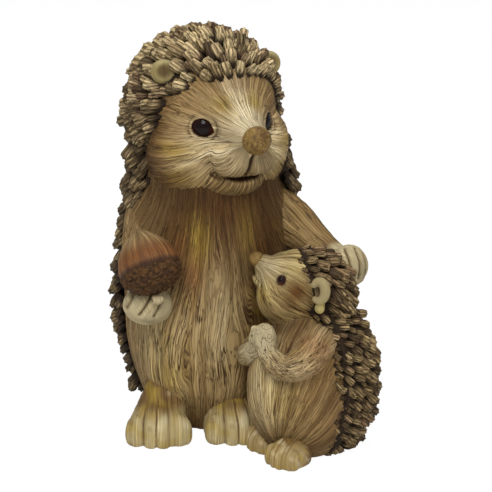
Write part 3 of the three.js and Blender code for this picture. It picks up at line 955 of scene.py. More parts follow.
MOTHER_FUR = FurPaint("mother_fur")
YOUNG_FUR = FurPaint("young_fur", strand=1.35, depth=0.35)
PALE_RESIN = FurPaint("pale_paws", strand=2.4, depth=0.25, ink_share=0.45)
SPINES = SpinePaint("mother_spines")
YOUNG_SPINES = SpinePaint("young_spines", mid=(0.17, 0.105, 0.042), light=(0.62, 0.45, 0.22))
NOSE_PAINT = MottledPaint(
    "mottled_nose", base=(0.20, 0.12, 0.033), blotch=(0.10, 0.052, 0.015), light=(0.36, 0.26, 0.10),
    scale=70.0, grit=0.18)
CUP_PAINT = MottledPaint(
    "rough_cup", base=(0.085, 0.038, 0.012), blotch=(0.04, 0.019, 0.007), light=(0.23, 0.13, 0.045),
    scale=160.0, grit=0.5, gloss=0.2)
NUT_PAINT = GrainedPaint("grained_nut")
EYE_PAINT = EyeGloss()
BARE_RESIN = PlainCoat("bare_resin", (0.26, 0.23, 0.18), (0.34, 0.31, 0.26), 0.8)
RUBBER = PlainCoat("black_rubber", (0.025, 0.024, 0.023), (0.05, 0.048, 0.045), 0.85)
STEEL = PlainCoat("dowel_steel", (0.4, 0.41, 0.42), (0.3, 0.29, 0.28), 0.35, 1.0)

_built: dict[str, bpy.types.Material] = {}


def material_of(finish: Finish) -> bpy.types.Material:
    """A finish's material, built once.

    Args:
        finish: The finish.

    Returns:
        Its material.
    """
    if finish.name not in _built:
        _built[finish.name] = finish.build()
    return _built[finish.name]


# Pieces of the figure


def settle(obj: bpy.types.Object, finish: Finish, slot: Slot, *nodes: str) -> None:
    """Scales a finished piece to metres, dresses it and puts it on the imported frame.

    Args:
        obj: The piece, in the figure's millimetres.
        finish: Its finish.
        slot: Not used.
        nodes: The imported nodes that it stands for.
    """
    obj.data.transform(figure_to_frame())
    obj.data.materials.clear()
    obj.data.materials.append(material_of(finish))
    select_only(obj)
    bpy.ops.object.shade_smooth()
    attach(obj, BODY)
    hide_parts(*nodes)
    log.info("%s: %d faces, stands for %s", obj.name, len(obj.data.polygons), ", ".join(nodes))


def finish_fur(clay: Clay, grain: Array, wash: Array, scale: float = 1.0, bare: Array | float = 0.0) -> None:
    """Writes what the fur's finish reads.

    Args:
        clay: The carved skin.
        grain: The strands' coordinates.
        wash: The colour at each point.
        scale: How large the carving is against the mother's.
        bare: How far each point is from being furred.
    """
    clay.write("bare", np.zeros(len(clay.points)) + bare, "FLOAT")
    clay.write("grain", grain)
    clay.write("wash", wash, "FLOAT_COLOR")
    # The relief marks the hollows, which the finishes darken: the wash that settles there, and painted shade.
    fine, wide = clay.relief(3), clay.relief(20)
    clay.write("relief", (fine * 1.5 + wide * 0.35) / scale, "FLOAT")


@dataclass
class Torso:
    """The mother's torso.

    Attributes:
        stations: Half width and height of its outline.
        swells: Its bumps and dips: place, reach and rise.
        knots: Where the strands part, across and up.
        flow_girth: The radius at which the strands' width is measured.
        depth_share: Its depth against its width.
        voxel: The width of the skin's faces before they are halved.
    """

    stations: Sequence[Pair] = field(default_factory=lambda: [
        (50, 0), (65, 34), (76, 76), (79, 128), (77, 180), (71, 215), (63, 240), (57, 262)])
    swells: Sequence[tuple[Point, float, float]] = (
        ((-48, -56, 50), 24, 5), ((20, -74, 44), 20, 3), ((-14, -86, 118), 40, 3), ((8, -64, 236), 20, -3),
        ((-20, -74, 22), 16, -3))
    knots: Sequence[Pair] = ((-3, 166), (12, 92), (-30, 74), (28, 128))
    flow_girth: float = 76
    depth_share: float = 1.04
    voxel: float = 2.84

    def rough(self) -> Clay:
        """Shapes the torso before its fur is carved.

        Returns:
            The shaped piece, before it is dressed.
        """
        line = [(0, 0, height) for _, height in self.stations]
        stretch = Matrix.Diagonal((1, self.depth_share, 1, 1))
        bar = add_tube(line, [radius for radius, _ in self.stations], stretch, domed=False)
        clay = Clay(fuse(bar, "torso", self.voxel, smooth=8))
        for place, reach, rise in self.swells:
            clay.swell(place, reach, rise)
        return clay

    def flow(self, points: Array) -> Array:
        """The strands' coordinates: they fan out from the throat and part round a few knots.

        Args:
            points: Points of the torso.

        Returns:
            One row for each point.
        """
        turn = np.arctan2(points[:, 0], -points[:, 1])
        turn = turn * (0.8 + 1.15 * smoothstep(points[:, 2], 90, 262))
        turn += 0.08 * noise_at(points * (1, 1, 0.5), 34.0, 6.0)
        for x, z in self.knots:
            away = points[:, 0] - x
            near = np.exp(-((away / 16) ** 2 + ((points[:, 2] - z) / 26) ** 2)) * (points[:, 1] < 0)
            turn -= 0.05 * near * np.tanh(away / 3)
        across = np.sin(turn) * self.flow_girth, -np.cos(turn) * self.flow_girth
        return np.column_stack([*across, points[:, 2] / STRAND_STRETCH])

    def dress(self, clay: Clay) -> None:
        """Carves and paints the torso.

        Args:
            clay: The shaped piece.
        """
        grain = self.flow(clay.points)
        carve_fur(clay, grain, 2.8, 0.5)
        wash = sprayed(clay.points, TAN, [
            Spray((0, 60, 120), (140, 60, 200), BROWN, 0.6),
            Spray((-2, -84, 112), (25, 40, 56), PALE, 0.65),
            Spray((-2, -84, 124), (11, 40, 40), (0.56, 0.46, 0.27), 0.5),
            Spray((-56, -56, 96), (26, 40, 60), PALE, 0.8),
            # Painted shade under the head: the neck below the chin, brown paint darkened further.
            Spray((6, -70, 222), (100, 80, 56), (0.092, 0.043, 0.012), 1.0),
            Spray((8, -66, 250), (100, 70, 24), UMBER, 0.6),
            Spray((-20, -76, 190), (10, 24, 20), OCHRE, 0.8),
            Spray((28, -76, 196), (9, 20, 20), OCHRE, 0.55),
            Spray((-26, -76, 158), (10, 20, 18), RUST, 0.7),
            Spray((-34, -70, 186), (12, 20, 16), RUST, 0.55),
            # The side towards the young darker: brown paint and painted shade.
            Spray((44, -66, 160), (19, 44, 80), (0.10, 0.045, 0.012), 1.0),
            Spray((36, -74, 112), (8, 30, 40), OCHRE, 0.35),
            Spray((-44, -60, 60), (14, 30, 22), OCHRE, 0.55),
            Spray((-6, -70, 44), (40, 30, 26), (0.36, 0.26, 0.12), 0.6),
            Spray((-20, -60, 0), (90, 70, 18), BROWN, 0.9)])
        finish_fur(clay, grain, wash)
        settle(clay.obj, MOTHER_FUR, Slot.FUR, "torso_shell")


@dataclass
class Head:
    """The mother's head, in its own frame: nose towards -Y, her left +X.

    Attributes:
        skull: The skull's half widths.
        cheek_radius: The cheeks' radius.
        cheek_place: The left cheek's middle.
        eye_front: The middle of the left eye's opening.
        eye_radius: The eyeballs' radius.
        eye_bulge: How far they stand proud of the face.
        eye_opening: The opening's half width and half height.
        eye_out: The way out of the left eye.
        eye_inner: The way from the left eye's middle to its inner corner.
        lid: The lids' thickness.
        smile: Points on the line of the lips, from the middle to the left corner.
        ear_place: The left ear's middle.
        voxel: The width of the skin's faces before they are halved.
    """

    skull: Point = (64.5, 64.5, 63.5)
    cheek_radius: float = 38
    cheek_place: Point = (29.5, -27.5, -31)
    eye_front: Point = (32.8, -61.5, -7.5)
    eye_radius: float = 12.5
    eye_bulge: float = 1.0
    eye_opening: Pair = (10.3, 8.0)
    eye_out: Point = (0.54, -0.84, 0.03)
    eye_inner: Point = (-0.75, -0.62, -0.16)
    lid: float = 0.8
    smile: Sequence[Point] = (
        (0, -93, -42), (6, -90, -49), (13, -85, -52), (18, -80, -52.5), (23.6, -68, -52), (25.6, -59, -48.5),
        (27, -55, -45.5))
    ear_place: Point = (53.4, -22.9, 35.8)
    voxel: float = 2.08

    def rough(self) -> Clay:
        """Shapes the head before its fur is carved.

        Returns:
            The shaped piece, before it is dressed.
        """
        parts = [add_ball((0, 0, 0), self.skull, HEAD, 64)]
        parts += add_tube([(0, -34, -13), (0, -64, -14), (0, -85, -16)], [46, 31, 18], HEAD)
        parts.append(add_ball((0, -53, -56), (26, 29, 12.5), HEAD))
        for side in (1, -1):
            parts.append(add_ball(sided(self.cheek_place, side), (self.cheek_radius,) * 3, HEAD))
            parts.append(add_ball((side * 13, -77.5, -34), (17.5, 18.5, 18.0), HEAD))
        parts += add_tube([(0, 0, -20), (0, 0, -95)], [30, 30], HEAD, domed=False)
        clay = Clay(fuse(parts, "head", self.voxel, smooth=7))
        self.open_mouth(clay, fold(clay.within(HEAD)))
        for side in (1, -1):
            self.open_eye(clay, side)
        return clay

    def open_mouth(self, clay: Clay, folded: Array) -> None:
        """Parts the lips in a smile, from under the nose to both corners.

        Args:
            clay: The shaped piece.
            folded: Its points in the head's frame, folded to the left.
        """
        x, y, z = folded.T
        inward = np.array(HEAD.to_3x3())[:, 1]
        clay.push(5.0 * bell(distance_to_line(folded, spline(self.smile, 40)), 2.0), inward)
        clay.push(8 * self.lips_gap(folded, 19, 53.2, 1.6) * (y < -58), inward)
        under_nose = smoothstep(z, -20, -27) * smoothstep(z, -52, -46) * (y < -70)
        clay.push(3.4 * bell(x, 1.5) * under_nose, inward)
        for side in (1, -1):
            clay.swell((side * 28.5, -56, -50), 5, 1.2, HEAD)

    def lips_gap(self, folded: Array, half_width: float, drop: float, half_height: float) -> Array:
        """The gap between the parted lips, from 1 within it to 0 well outside.

        Args:
            folded: Points in the head's frame, folded to the left.
            half_width: The gap's half width.
            drop: How far its middle lies below the head's.
            half_height: Its half height.

        Returns:
            How much of the gap each point has.
        """
        across, up = folded[:, 0], folded[:, 2]
        return np.exp(-((across / half_width) ** 4 + ((up + drop - 0.008 * across**2) / half_height) ** 2))

    def eye_frame(self, side: int) -> Matrix:
        """The frame of an eyeball: +Z out of the face, +X towards the nose, +Y up.

        Args:
            side: 1 for the left, -1 for the right.

        Returns:
            The frame.
        """
        out = Vector(sided(self.eye_out, side)).normalized()
        inward = Vector(sided(self.eye_inner, side))
        inward = (inward - inward.dot(out) * out).normalized()
        rise = Vector((0, 0, 1)) - out * out.z
        rise = (rise - rise.dot(inward) * inward).normalized()
        middle = Vector(sided(self.eye_front, side)) - out * (self.eye_radius - self.eye_bulge)
        return HEAD @ Matrix.Translation(middle) @ Matrix((inward, rise, out)).transposed().to_4x4()

    def almond(self, local: Array) -> Array:
        """Where points stand in an eye's frame: below 1 within the opening, above 1 outside it.

        Args:
            local: Points in the eye's frame.

        Returns:
            One value for each point.
        """
        x, y = local[:, 0] / self.eye_opening[0], local[:, 1] / self.eye_opening[1]
        inner = np.clip(x, 0, 0.98)
        height = (1 - inner**2.2) ** 0.9 / np.sqrt(1 - inner**2)
        return np.sqrt(x**2 + ((y + 0.18 * inner**2) / height) ** 2)

    def open_eye(self, clay: Clay, side: int) -> None:
        """Draws the skin over the eyeball as lids, with an almond opening between them.

        Args:
            clay: The shaped piece.
            side: 1 for the left, -1 for the right.
        """
        eye = self.eye_frame(side)
        local = clay.within(eye)
        reach = np.hypot(local[:, 0], local[:, 1])
        almond = self.almond(local)
        ball = np.sqrt(np.maximum(self.eye_radius**2 - reach**2, 4))
        lid = np.sqrt(np.maximum((self.eye_radius + self.lid) ** 2 - reach**2, 9))
        opening = smoothstep(almond, 1.06, 0.95)
        rim = 0.25 * bell(np.minimum(almond, 2) - 1.14, 0.1)
        wanted = opening * (ball - 2.2) + (1 - opening) * (lid + rim)
        oval = np.hypot(local[:, 0] / self.eye_opening[0], local[:, 1] / self.eye_opening[1])
        near = smoothstep(oval, 1.8, 1.2) * (local[:, 2] > 0)
        change = wanted - local[:, 2]
        change = np.where(change < 0, change * (0.3 + 0.7 * opening), change)
        clay.push(near * change, np.array(eye.to_3x3())[:, 2])

    def dress(self, clay: Clay) -> None:
        """Carves and paints the head.

        Args:
            clay: The shaped piece.
        """
        local = clay.within(HEAD)
        grain = fan_grain(local, (0, -20, -14), (0, -1, 0.02), 58)
        folded = fold(local)
        almond = np.minimum(*(self.almond(clay.within(self.eye_frame(side))) + 9 * (local[:, 0] * side < 0)
                              for side in (1, -1)))
        calm = smoothstep(almond, 1.15, 1.45)
        radius = np.hypot(local[:, 0], local[:, 2] + 14)
        lips = bell(away_from(folded, (8, -90, -36), (14, 14, 16)))
        carve_fur(clay, grain, 2.4, 0.42, calm * smoothstep(radius, 8, 30) * (1 - 0.85 * lips))
        wash = sprayed(folded, TAN, [
            Spray((0, -50, 60), (70, 40, 34), (0.30, 0.19, 0.08), 0.8),
            Spray((30, -76, -20), (24, 30, 18), CREAM, 0.7),
            Spray((0, -84, 4), (16, 44, 26), (1.0, 0.88, 0.60), 1.0),
            Spray((22, -66, -30), (18, 30, 13), CREAM, 0.55),
            Spray((50, -46, -40), (16, 24, 10), PALE, 0.5),
            Spray((54, -44, -27), (14, 20, 7), OCHRE, 0.8),
            Spray((16, -68, 14), (10, 20, 9), OCHRE, 0.85),
            Spray((44, -44, -52), (16, 20, 8), OCHRE, 0.8),
            Spray((26, -62, 18), (12, 16, 12), (0.42, 0.30, 0.15), 0.5),
            Spray((13, -88, -36), (15, 16, 14), (0.40, 0.31, 0.17), 0.85),
            Spray((37, -52, -45), (12, 16, 11), CREAM, 0.4),
            Spray((0, -70, -62), (26, 26, 9), (0.30, 0.21, 0.095), 0.8),
            # Painted shade under the jaw, where the head overhangs the neck.
            Spray((0, -40, -78), (60, 50, 13), UMBER, 0.95)])
        axis_angle = np.degrees(np.arctan2(np.hypot(local[:, 0], local[:, 2] + 6), -local[:, 1] - 6))
        wash = blend(wash, BROWN, 0.75 * smoothstep(axis_angle, 52, 72))
        wash = blend(wash, UMBER, 0.5 * smoothstep(axis_angle, 68, 84))
        wash = blend(wash, (0.50, 0.38, 0.22), 0.3 * bell(almond - 1.2, 0.09))
        # Painted shade of the lids at the edge of the eye opening.
        wash = blend(wash, (0.035, 0.015, 0.008), smoothstep(almond, 1.1, 1.0))
        x, y, z = folded.T
        mouth = self.lips_gap(folded, 20, 53.0, 2.1) * (y < -57)
        smile = spline([self.smile[k] for k in (0, 1, 2, 4, 6)], 30)
        line = bell(distance_to_line(folded, smile), 1.8)
        philtrum = bell(x, 1.7) * (y < -70) * (z < -24) * (z > -54)
        # The mouth's lines painted dark, and the gap between the lips darker still as painted shade.
        wash = blend(wash, UMBER, np.maximum.reduce([1.5 * mouth, 1.1 * line, 0.9 * philtrum]))
        finish_fur(clay, grain, wash, bare=0.5 * lips)
        settle(clay.obj, MOTHER_FUR, Slot.FUR, "head_shell")

    def add_eyes(self) -> None:
        """Makes the two glossy eyes."""
        for side, name in ((1, "left"), (-1, "right")):
            make_eye(f"{name}_eyeball", self.eye_frame(side), self.eye_radius, f"{name}_eye")

    def add_nose(self) -> None:
        """Makes the round nose."""
        nose = Clay(add_ball((-1.6, -105.6, -13.6), (13, 12.4, 12.8), HEAD, 64))
        nose.obj.name = nose.obj.data.name = "nose_ball"
        nose.push(0.5 * noise_at(nose.points, 9))
        settle(nose.obj, NOSE_PAINT, Slot.NOSE, "nose")

    def add_ears(self) -> None:
        """Makes the two round, cupped ears."""
        for side, name in ((1, "left"), (-1, "right")):
            x, y, z = sided(self.ear_place, side)
            ear = HEAD @ placed((x + 0.9, y + 0.5, z + 3), (-8, 0, side * 12))
            make_ear(f"{name}_ear_lobe", ear, (12.2, 6.4, 11.2), f"{name}_ear")


def make_eye(name: str, eye: Matrix, radius: float, node: str) -> None:
    """Makes an eyeball with a dark pupil and a reddish iris.

    Args:
        name: The piece's name.
        eye: Its frame, with +Z out of the face.
        radius: Its radius.
        node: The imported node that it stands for.
    """
    clay = Clay(add_ball((0, 0, 0), (radius,) * 3, eye, 48))
    clay.obj.name = clay.obj.data.name = name
    local = clay.within(eye)
    lean = np.degrees(np.arctan2(np.hypot(local[:, 0] + 0.1 * radius, local[:, 1]), local[:, 2]))
    wash = coated(local, (0.009, 0.005, 0.005))
    wash = blend(wash, (0.018, 0.007, 0.006), smoothstep(lean, 26, 36))
    wash = blend(wash, (0.10, 0.022, 0.012), 0.9 * smoothstep(local[:, 0] / radius, 0.5, 0.72))
    clay.write("wash", wash, "FLOAT_COLOR")
    clay.write("grain", fan_grain(local, (0, 0, 0), (0, 0, 1), radius))
    settle(clay.obj, EYE_PAINT, Slot.EYE, node)


def make_ear(name: str, ear: Matrix, half: Point, node: str) -> None:
    """Makes a round ear with a cupped front.

    Args:
        name: The piece's name.
        ear: Its frame, with -Y out of the cup.
        half: Its half widths.
        node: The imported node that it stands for.
    """
    clay = Clay(fuse([add_ball((0, 0, 0), half, ear, 48)], name, max(half) * 0.085, 2))
    local = clay.within(ear)
    radius = np.hypot(local[:, 0] / half[0], local[:, 2] / half[2])
    cup = smoothstep(radius, 0.8, 0.2) * (local[:, 1] < 0)
    clay.push(cup * half[1] * 0.65, np.array(ear.to_3x3())[:, 1])
    grain = fan_grain(local, (0, 0, -half[2]), (0, 0, -1), half[0])
    wash = coated(local, (0.29, 0.23, 0.10))
    # The cup's inside darker: olive-brown paint, and painted shade in the hollow.
    wash = blend(wash, (0.11, 0.07, 0.028), 0.9 * cup)
    wash = blend(wash, (0.44, 0.37, 0.19), 0.6 * smoothstep(local[:, 2] / half[2], 0.2, 1.0))
    finish_fur(clay, grain, wash, bare=0.8)
    settle(clay.obj, PALE_RESIN, Slot.PALE, node)


@dataclass
class Arm:
    """One of the mother's arms, with its paw.

    Attributes:
        name: The piece's name.
        node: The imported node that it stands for.
        line: Its middle line, from shoulder to wrist.
        paw: The paw's frame, whose fingers lie on its -Y side.
        grooves: The lines between the fingers, across and up in the paw's frame.
        radii: Its radius from shoulder to wrist.
        palm: The palm's half widths.
        knob: Where the thumb's tip shows, if it does, in the figure's layout.
        paw_reach: How far the paw's paint reaches from its middle.
        voxel: The width of the skin's faces before they are halved.
    """

    name: str
    node: str
    line: Sequence[Point]
    paw: Matrix
    grooves: Sequence[Sequence[Pair]]
    radii: Sequence[float]
    palm: Point
    knob: Point | None = None
    paw_reach: Point = (24, 22, 24)
    voxel: float = 1.5

    def rough(self) -> Clay:
        """Shapes the arm before its fur is carved.

        Returns:
            The shaped piece, before it is dressed.
        """
        parts = add_tube(self.line, self.radii)
        parts.append(add_ball((0, 0, 0), self.palm, self.paw))
        if self.knob:
            parts.append(add_ball(self.knob, (6.4, 6, 4.6)))
        return Clay(fuse(parts, self.name, self.voxel, smooth=9))

    def dress(self, clay: Clay) -> None:
        """Carves and paints the arm.

        Args:
            clay: The shaped piece.
        """
        local = clay.within(self.paw)
        flat = np.column_stack([local[:, 0], np.zeros(len(local)), local[:, 2]])
        lines = [spline([(x, 0, z) for x, z in line], 24) for line in self.grooves]
        away = np.min([distance_to_line(flat, line) for line in lines], axis=0)
        front = smoothstep(local[:, 1], 2, -5)
        gaps = bell(away, 1.3) * front
        clay.push(-1.6 * gaps + 0.5 * bell(away - 4, 2.2) * front)
        edge = away_from(local, (0, 0, 0), self.paw_reach)
        paw_share = smoothstep(edge, 1.25, 0.9)
        if self.knob:
            paw_share = np.maximum(paw_share, smoothstep(away_from(clay.points, self.knob), 10, 7.5))
        grain = limb_grain(clay.points, self.line, 18)
        carve_fur(clay, grain, 2.8, 0.45, 1 - 0.9 * paw_share)
        wash = sprayed(clay.points, TAN, [
            Spray((-66, -30, 200), (30, 40, 30), (0.27, 0.185, 0.085), 0.7),
            Spray((-72, -52, 170), (20, 20, 16), OCHRE, 0.3),
            Spray((84, -30, 190), (30, 30, 20), (0.30, 0.21, 0.09), 0.7)])
        wash = blend(wash, (0.50, 0.42, 0.25), 0.95 * paw_share)
        wash = blend(wash, BROWN, 0.3 * bell(edge - 1.2, 0.12))
        # The gaps between the fingers: brown wash in the grooves, and painted shade.
        wash = blend(wash, (0.17, 0.11, 0.045), 0.75 * gaps)
        cloud = smoothstep(noise_at(local, 14, 3.0), 0.0, 0.7)
        wash = blend(wash, (0.34, 0.27, 0.14), 0.3 * paw_share * cloud)
        finish_fur(clay, grain, wash, bare=paw_share)
        settle(clay.obj, MOTHER_FUR, Slot.FUR, self.node)


# The width of the mother's feet; the carving on smaller feet is scaled down from it
FOOT_WIDTH = 57


@dataclass
class Foot:
    """A foot flat on the ground, with four toes towards -Y of its frame.

    Attributes:
        name: The piece's name.
        node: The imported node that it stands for.
        place: Its frame.
        width: Its width.
        length: Its length.
        height: Its height.
        toe: The toes' radius.
        ankle: Where the leg meets the body, in the foot's frame.
        tint: The colour of its toes.
        voxel: The width of the skin's faces before they are halved.
    """

    name: str
    node: str
    place: Matrix
    ankle: Point | None = None
    width: float = FOOT_WIDTH
    length: float = 74
    height: float = 37
    toe: float = 8
    tint: Colour = (0.44, 0.355, 0.18)
    voxel: float = 1.7

    def toe_place(self, step: float) -> Array:
        """The middle of the toe at a step from the foot's middle line."""
        return np.array((step * (self.width / 2 - self.toe) / 1.5,
                         -self.length * (0.33 - abs(step) * 0.045), self.height * 0.28))

    def rough(self) -> Clay:
        """Shapes the foot before it is painted.

        Returns:
            The shaped piece, before it is dressed.
        """
        half = (self.width / 2, self.length / 2, self.height * 0.8)
        parts = [add_ball((0, 0, self.height - half[2]), half, self.place)]
        for step in (-1.5, -0.5, 0.5, 1.5):
            reach = (self.toe * 1.35, self.toe * 1.5, self.height * 0.46)
            parts.append(add_ball(tuple(self.toe_place(step)), reach, self.place))
        if self.ankle:
            girths = [self.width * 0.42, self.width * 0.40]
            parts += add_tube([(0, 6, self.height * 0.45), self.ankle], girths, self.place)
        return Clay(fuse(parts, self.name, self.voxel, smooth=9, ground=True))

    def dress(self, clay: Clay) -> None:
        """Carves and paints the foot.

        Args:
            clay: The shaped piece.
        """
        size = self.width / FOOT_WIDTH
        local = clay.within(self.place)
        pitch = (self.width / 2 - self.toe) / 1.5
        fan = 1 - 0.25 * smoothstep(local[:, 1] / self.length, -0.45, 0.1)
        front = smoothstep(local[:, 1] / self.length, 0.02, -0.24)
        across = local[:, 0] / (pitch * fan)
        toes = np.cos(2 * math.pi * (across - 0.4)) * (np.abs(across) < 1.95)
        gaps = np.maximum.reduce([share * bell((across - step) * pitch, 1.5 * size)
                                  for step, share in ((-1.05, 0.7), (-0.15, 1.0), (0.75, 0.6))])
        gaps *= front
        clay.push(front * size * 0.4 * toes - 1.1 * size * gaps)
        clay.points[:, 2] = np.maximum(clay.points[:, 2], 0)
        clay.set_down()
        local = clay.within(self.place)
        along = (local[:, 1] - local[:, 2]) / STRAND_STRETCH
        grain = np.column_stack([local[:, 0] / fan, np.zeros(len(local)), along])
        carve_fur(clay, grain, 2.6, 0.3, smoothstep(local[:, 2], 0, 4))
        wash = coated(local, self.tint)
        rear = smoothstep(local[:, 1] / self.length, -0.12, 0.3)
        high = smoothstep(local[:, 2] / self.height, 0.66, 0.95)
        wash = blend(wash, (0.17, 0.095, 0.032), 0.9 * high)
        wash = blend(wash, BROWN, 0.9 * rear)
        patch = noise_at(local, 13 * size, 2.0)
        spots = smoothstep(noise_at(local, 9 * size, 8.0), 0.25, 0.6)
        wash = blend(wash, OCHRE, 0.6 * smoothstep(patch, 0.0, 0.6))
        wash = blend(wash, (0.62, 0.54, 0.34), 0.5 * smoothstep(patch, -0.1, -0.5))
        wash = blend(wash, (0.20, 0.12, 0.045), 0.45 * spots)
        # The gaps between the toes: brown wash in the grooves, and painted shade.
        wash = blend(wash, (0.20, 0.12, 0.045), 0.55 * gaps)
        finish_fur(clay, grain, wash, bare=0.7 * (1 - high))
        settle(clay.obj, PALE_RESIN, Slot.PALE, self.node)


@dataclass
class Acorn:
    """The acorn: a nut on its own axis, in a rough cup.

    Attributes:
        place: Its frame, with the nut's tip towards +Z.
        radius: The nut's radius.
        length: The nut's length above the rim.
        cup_radius: The cup's outer radius.
        cup_depth: The cup's depth.
    """

    place: Matrix
    radius: float = 28.5
    length: float = 44
    cup_radius: float = 27.8
    cup_depth: float = 16.5

    def build(self) -> None:
        """Makes the nut and the cup."""
        r, h = self.radius, self.length
        line = [(0, 0, z) for z in (-10, 4, h * 0.3, h * 0.58, h * 0.84, h * 0.97)]
        girths = [r * 0.8, r * 0.99, r * 0.97, r * 0.78, r * 0.4, 2.6]
        parts = add_tube(line, girths, self.place, domed=False)
        parts.append(add_ball((0, 0, h * 0.97), (2.6,) * 3, self.place))
        nut = Clay(fuse(parts, "nut", voxel=1.5, smooth=3))
        local = nut.within(self.place)
        height = local[:, 2] / h
        grain = fan_grain(local, (0, 0, 0), (0, 0, 1), r)
        carve_fur(nut, grain, 2.2, 0.22)
        wash = coated(local, (0.19, 0.085, 0.026))
        wash = blend(wash, (0.34, 0.24, 0.105), 0.95 * smoothstep(height, 0.35, 0.8))
        wash = blend(wash, (0.22, 0.085, 0.02), 0.7 * bell(height - 0.3, 0.12))
        # Painted shadow: the nut's foot, inside the cup's rim, near black.
        wash = blend(wash, (0.035, 0.014, 0.006), 0.9 * smoothstep(height, 0.2, 0.07))
        finish_fur(nut, grain, wash)
        settle(nut.obj, NUT_PAINT, Slot.NUT, "acorn_nut")
        self.add_cup()

    def add_cup(self) -> None:
        """Makes the cup, with a thick rounded rim and scales."""
        girth = self.cup_radius - 0.5
        bowl = add_ball((0, 0, 0), (girth, girth, self.cup_depth), self.place, 48)
        cut_place, cut_way = self.place @ Vector((0, 0, 2)), self.place.to_3x3().col[2]
        with editing(bowl):
            bpy.ops.mesh.bisect(plane_co=cut_place, plane_no=cut_way, clear_outer=True, use_fill=True)
        bpy.ops.object.select_all(action="DESELECT")
        bpy.ops.mesh.primitive_torus_add(
            major_radius=self.cup_radius - 3.4, minor_radius=3.6, major_segments=64, minor_segments=16)
        rim = bpy.context.object
        rim.data.transform(self.place @ Matrix.Translation((0, 0, 1.0)))
        cup = Clay(fuse([bowl, rim], "cup", voxel=1.2, smooth=2))
        local = cup.within(self.place)
        worms = np.abs(noise_at(local, 5.2, 4.0))
        cup.push(1.9 * smoothstep(worms, 0.0, 0.34) - 1.0 + 0.5 * noise_at(local, 2.6))
        finish_fur(cup, local, coated(local, (0.1, 0.05, 0.02)))
        settle(cup.obj, CUP_PAINT, Slot.CUP, "acorn_cup")


@dataclass
class Mould:
    """One blunt, ridged spine, modelled once: root at the origin, tip along +Y, upper side +Z.

    Attributes:
        width: Its width.
        thickness: Its thickness.
        length: Its length.
        bend: How far its tip curls up.
        shift: Where its uneven surface is drawn from.
        meridians: How many edges run along it; every other one is a ridge.
        rings: How many bands it has from root to tip.
    """

    width: float
    thickness: float
    length: float
    bend: float
    shift: float
    meridians: int = 12
    rings: int = 7

    def build(self) -> bpy.types.Object:
        """Models the spine, and writes its grain, and its tone, length and crests; its underside gets low
        crests, so that it is painted in shade.

        Returns:
            The mould's object.
        """
        bpy.ops.object.select_all(action="DESELECT")
        bpy.ops.mesh.primitive_uv_sphere_add(segments=self.meridians, ring_count=self.rings, radius=1)
        obj = bpy.context.object
        clay = Clay(obj)
        x, z, y = clay.points.T.copy()
        turn = np.arctan2(z, x)
        share = (y + 1) / 2
        ridge = (np.round(turn / (2 * math.pi) * self.meridians).astype(int) % 2 == 0).astype(float)
        blunt = np.maximum(1 - np.abs(y) ** 4, 0) ** 0.25
        girth = blunt * (0.66 + 0.34 * share) * (0.70 + 0.30 * ridge)
        girth *= 1 + 0.2 * noise_at(clay.points, 0.9, self.shift)
        length = self.length * (share + 0.05 * noise_at(clay.points, 0.7, self.shift + 5) * share)
        clay.points = np.column_stack([
            np.cos(turn) * girth * self.width / 2, length,
            np.sin(turn) * girth * self.thickness / 2 + self.bend * share**2])
        clay.set_down()
        clay.write("grain", np.column_stack([clay.points[:, 0], clay.points[:, 1] / 8, clay.points[:, 2]]))
        # The upper side gets the high crests, so the underside is painted in shade, as if lit from above.
        top = 0.3 + 0.7 * smoothstep(np.sin(turn), -0.6, 0.4)
        clay.write("spine", np.column_stack([np.full(len(share), 0.5), share, ridge * top]), "FLOAT_COLOR")
        with editing(obj):
            bpy.ops.mesh.normals_make_consistent(inside=False)
        return obj


def moulds(width: float, length: float) -> list[bpy.types.Object]:
    """A set of spines of about one size.

    Args:
        width: Their usual width.
        length: Their usual length.

    Returns:
        The spines, which differ in width, length and bend.
    """
    shapes = ((1.0, 1.0, 0.02), (1.14, 0.94, 0.06), (0.88, 1.06, 0.0), (1.02, 0.9, 0.08), (0.94, 1.1, 0.03))
    return [Mould(width * wider, width * 0.74, length * longer, length * bend, 3.7 * k).build()
            for k, (wider, longer, bend) in enumerate(shapes)]


@dataclass
class Roots:
    """Where spines grow.

    Attributes:
        places: Their places.
        normals: The outward normals there.
        shares: How far each is from the coat's edge, from 0 to 1.
    """

    places: Array
    normals: Array
    shares: Array


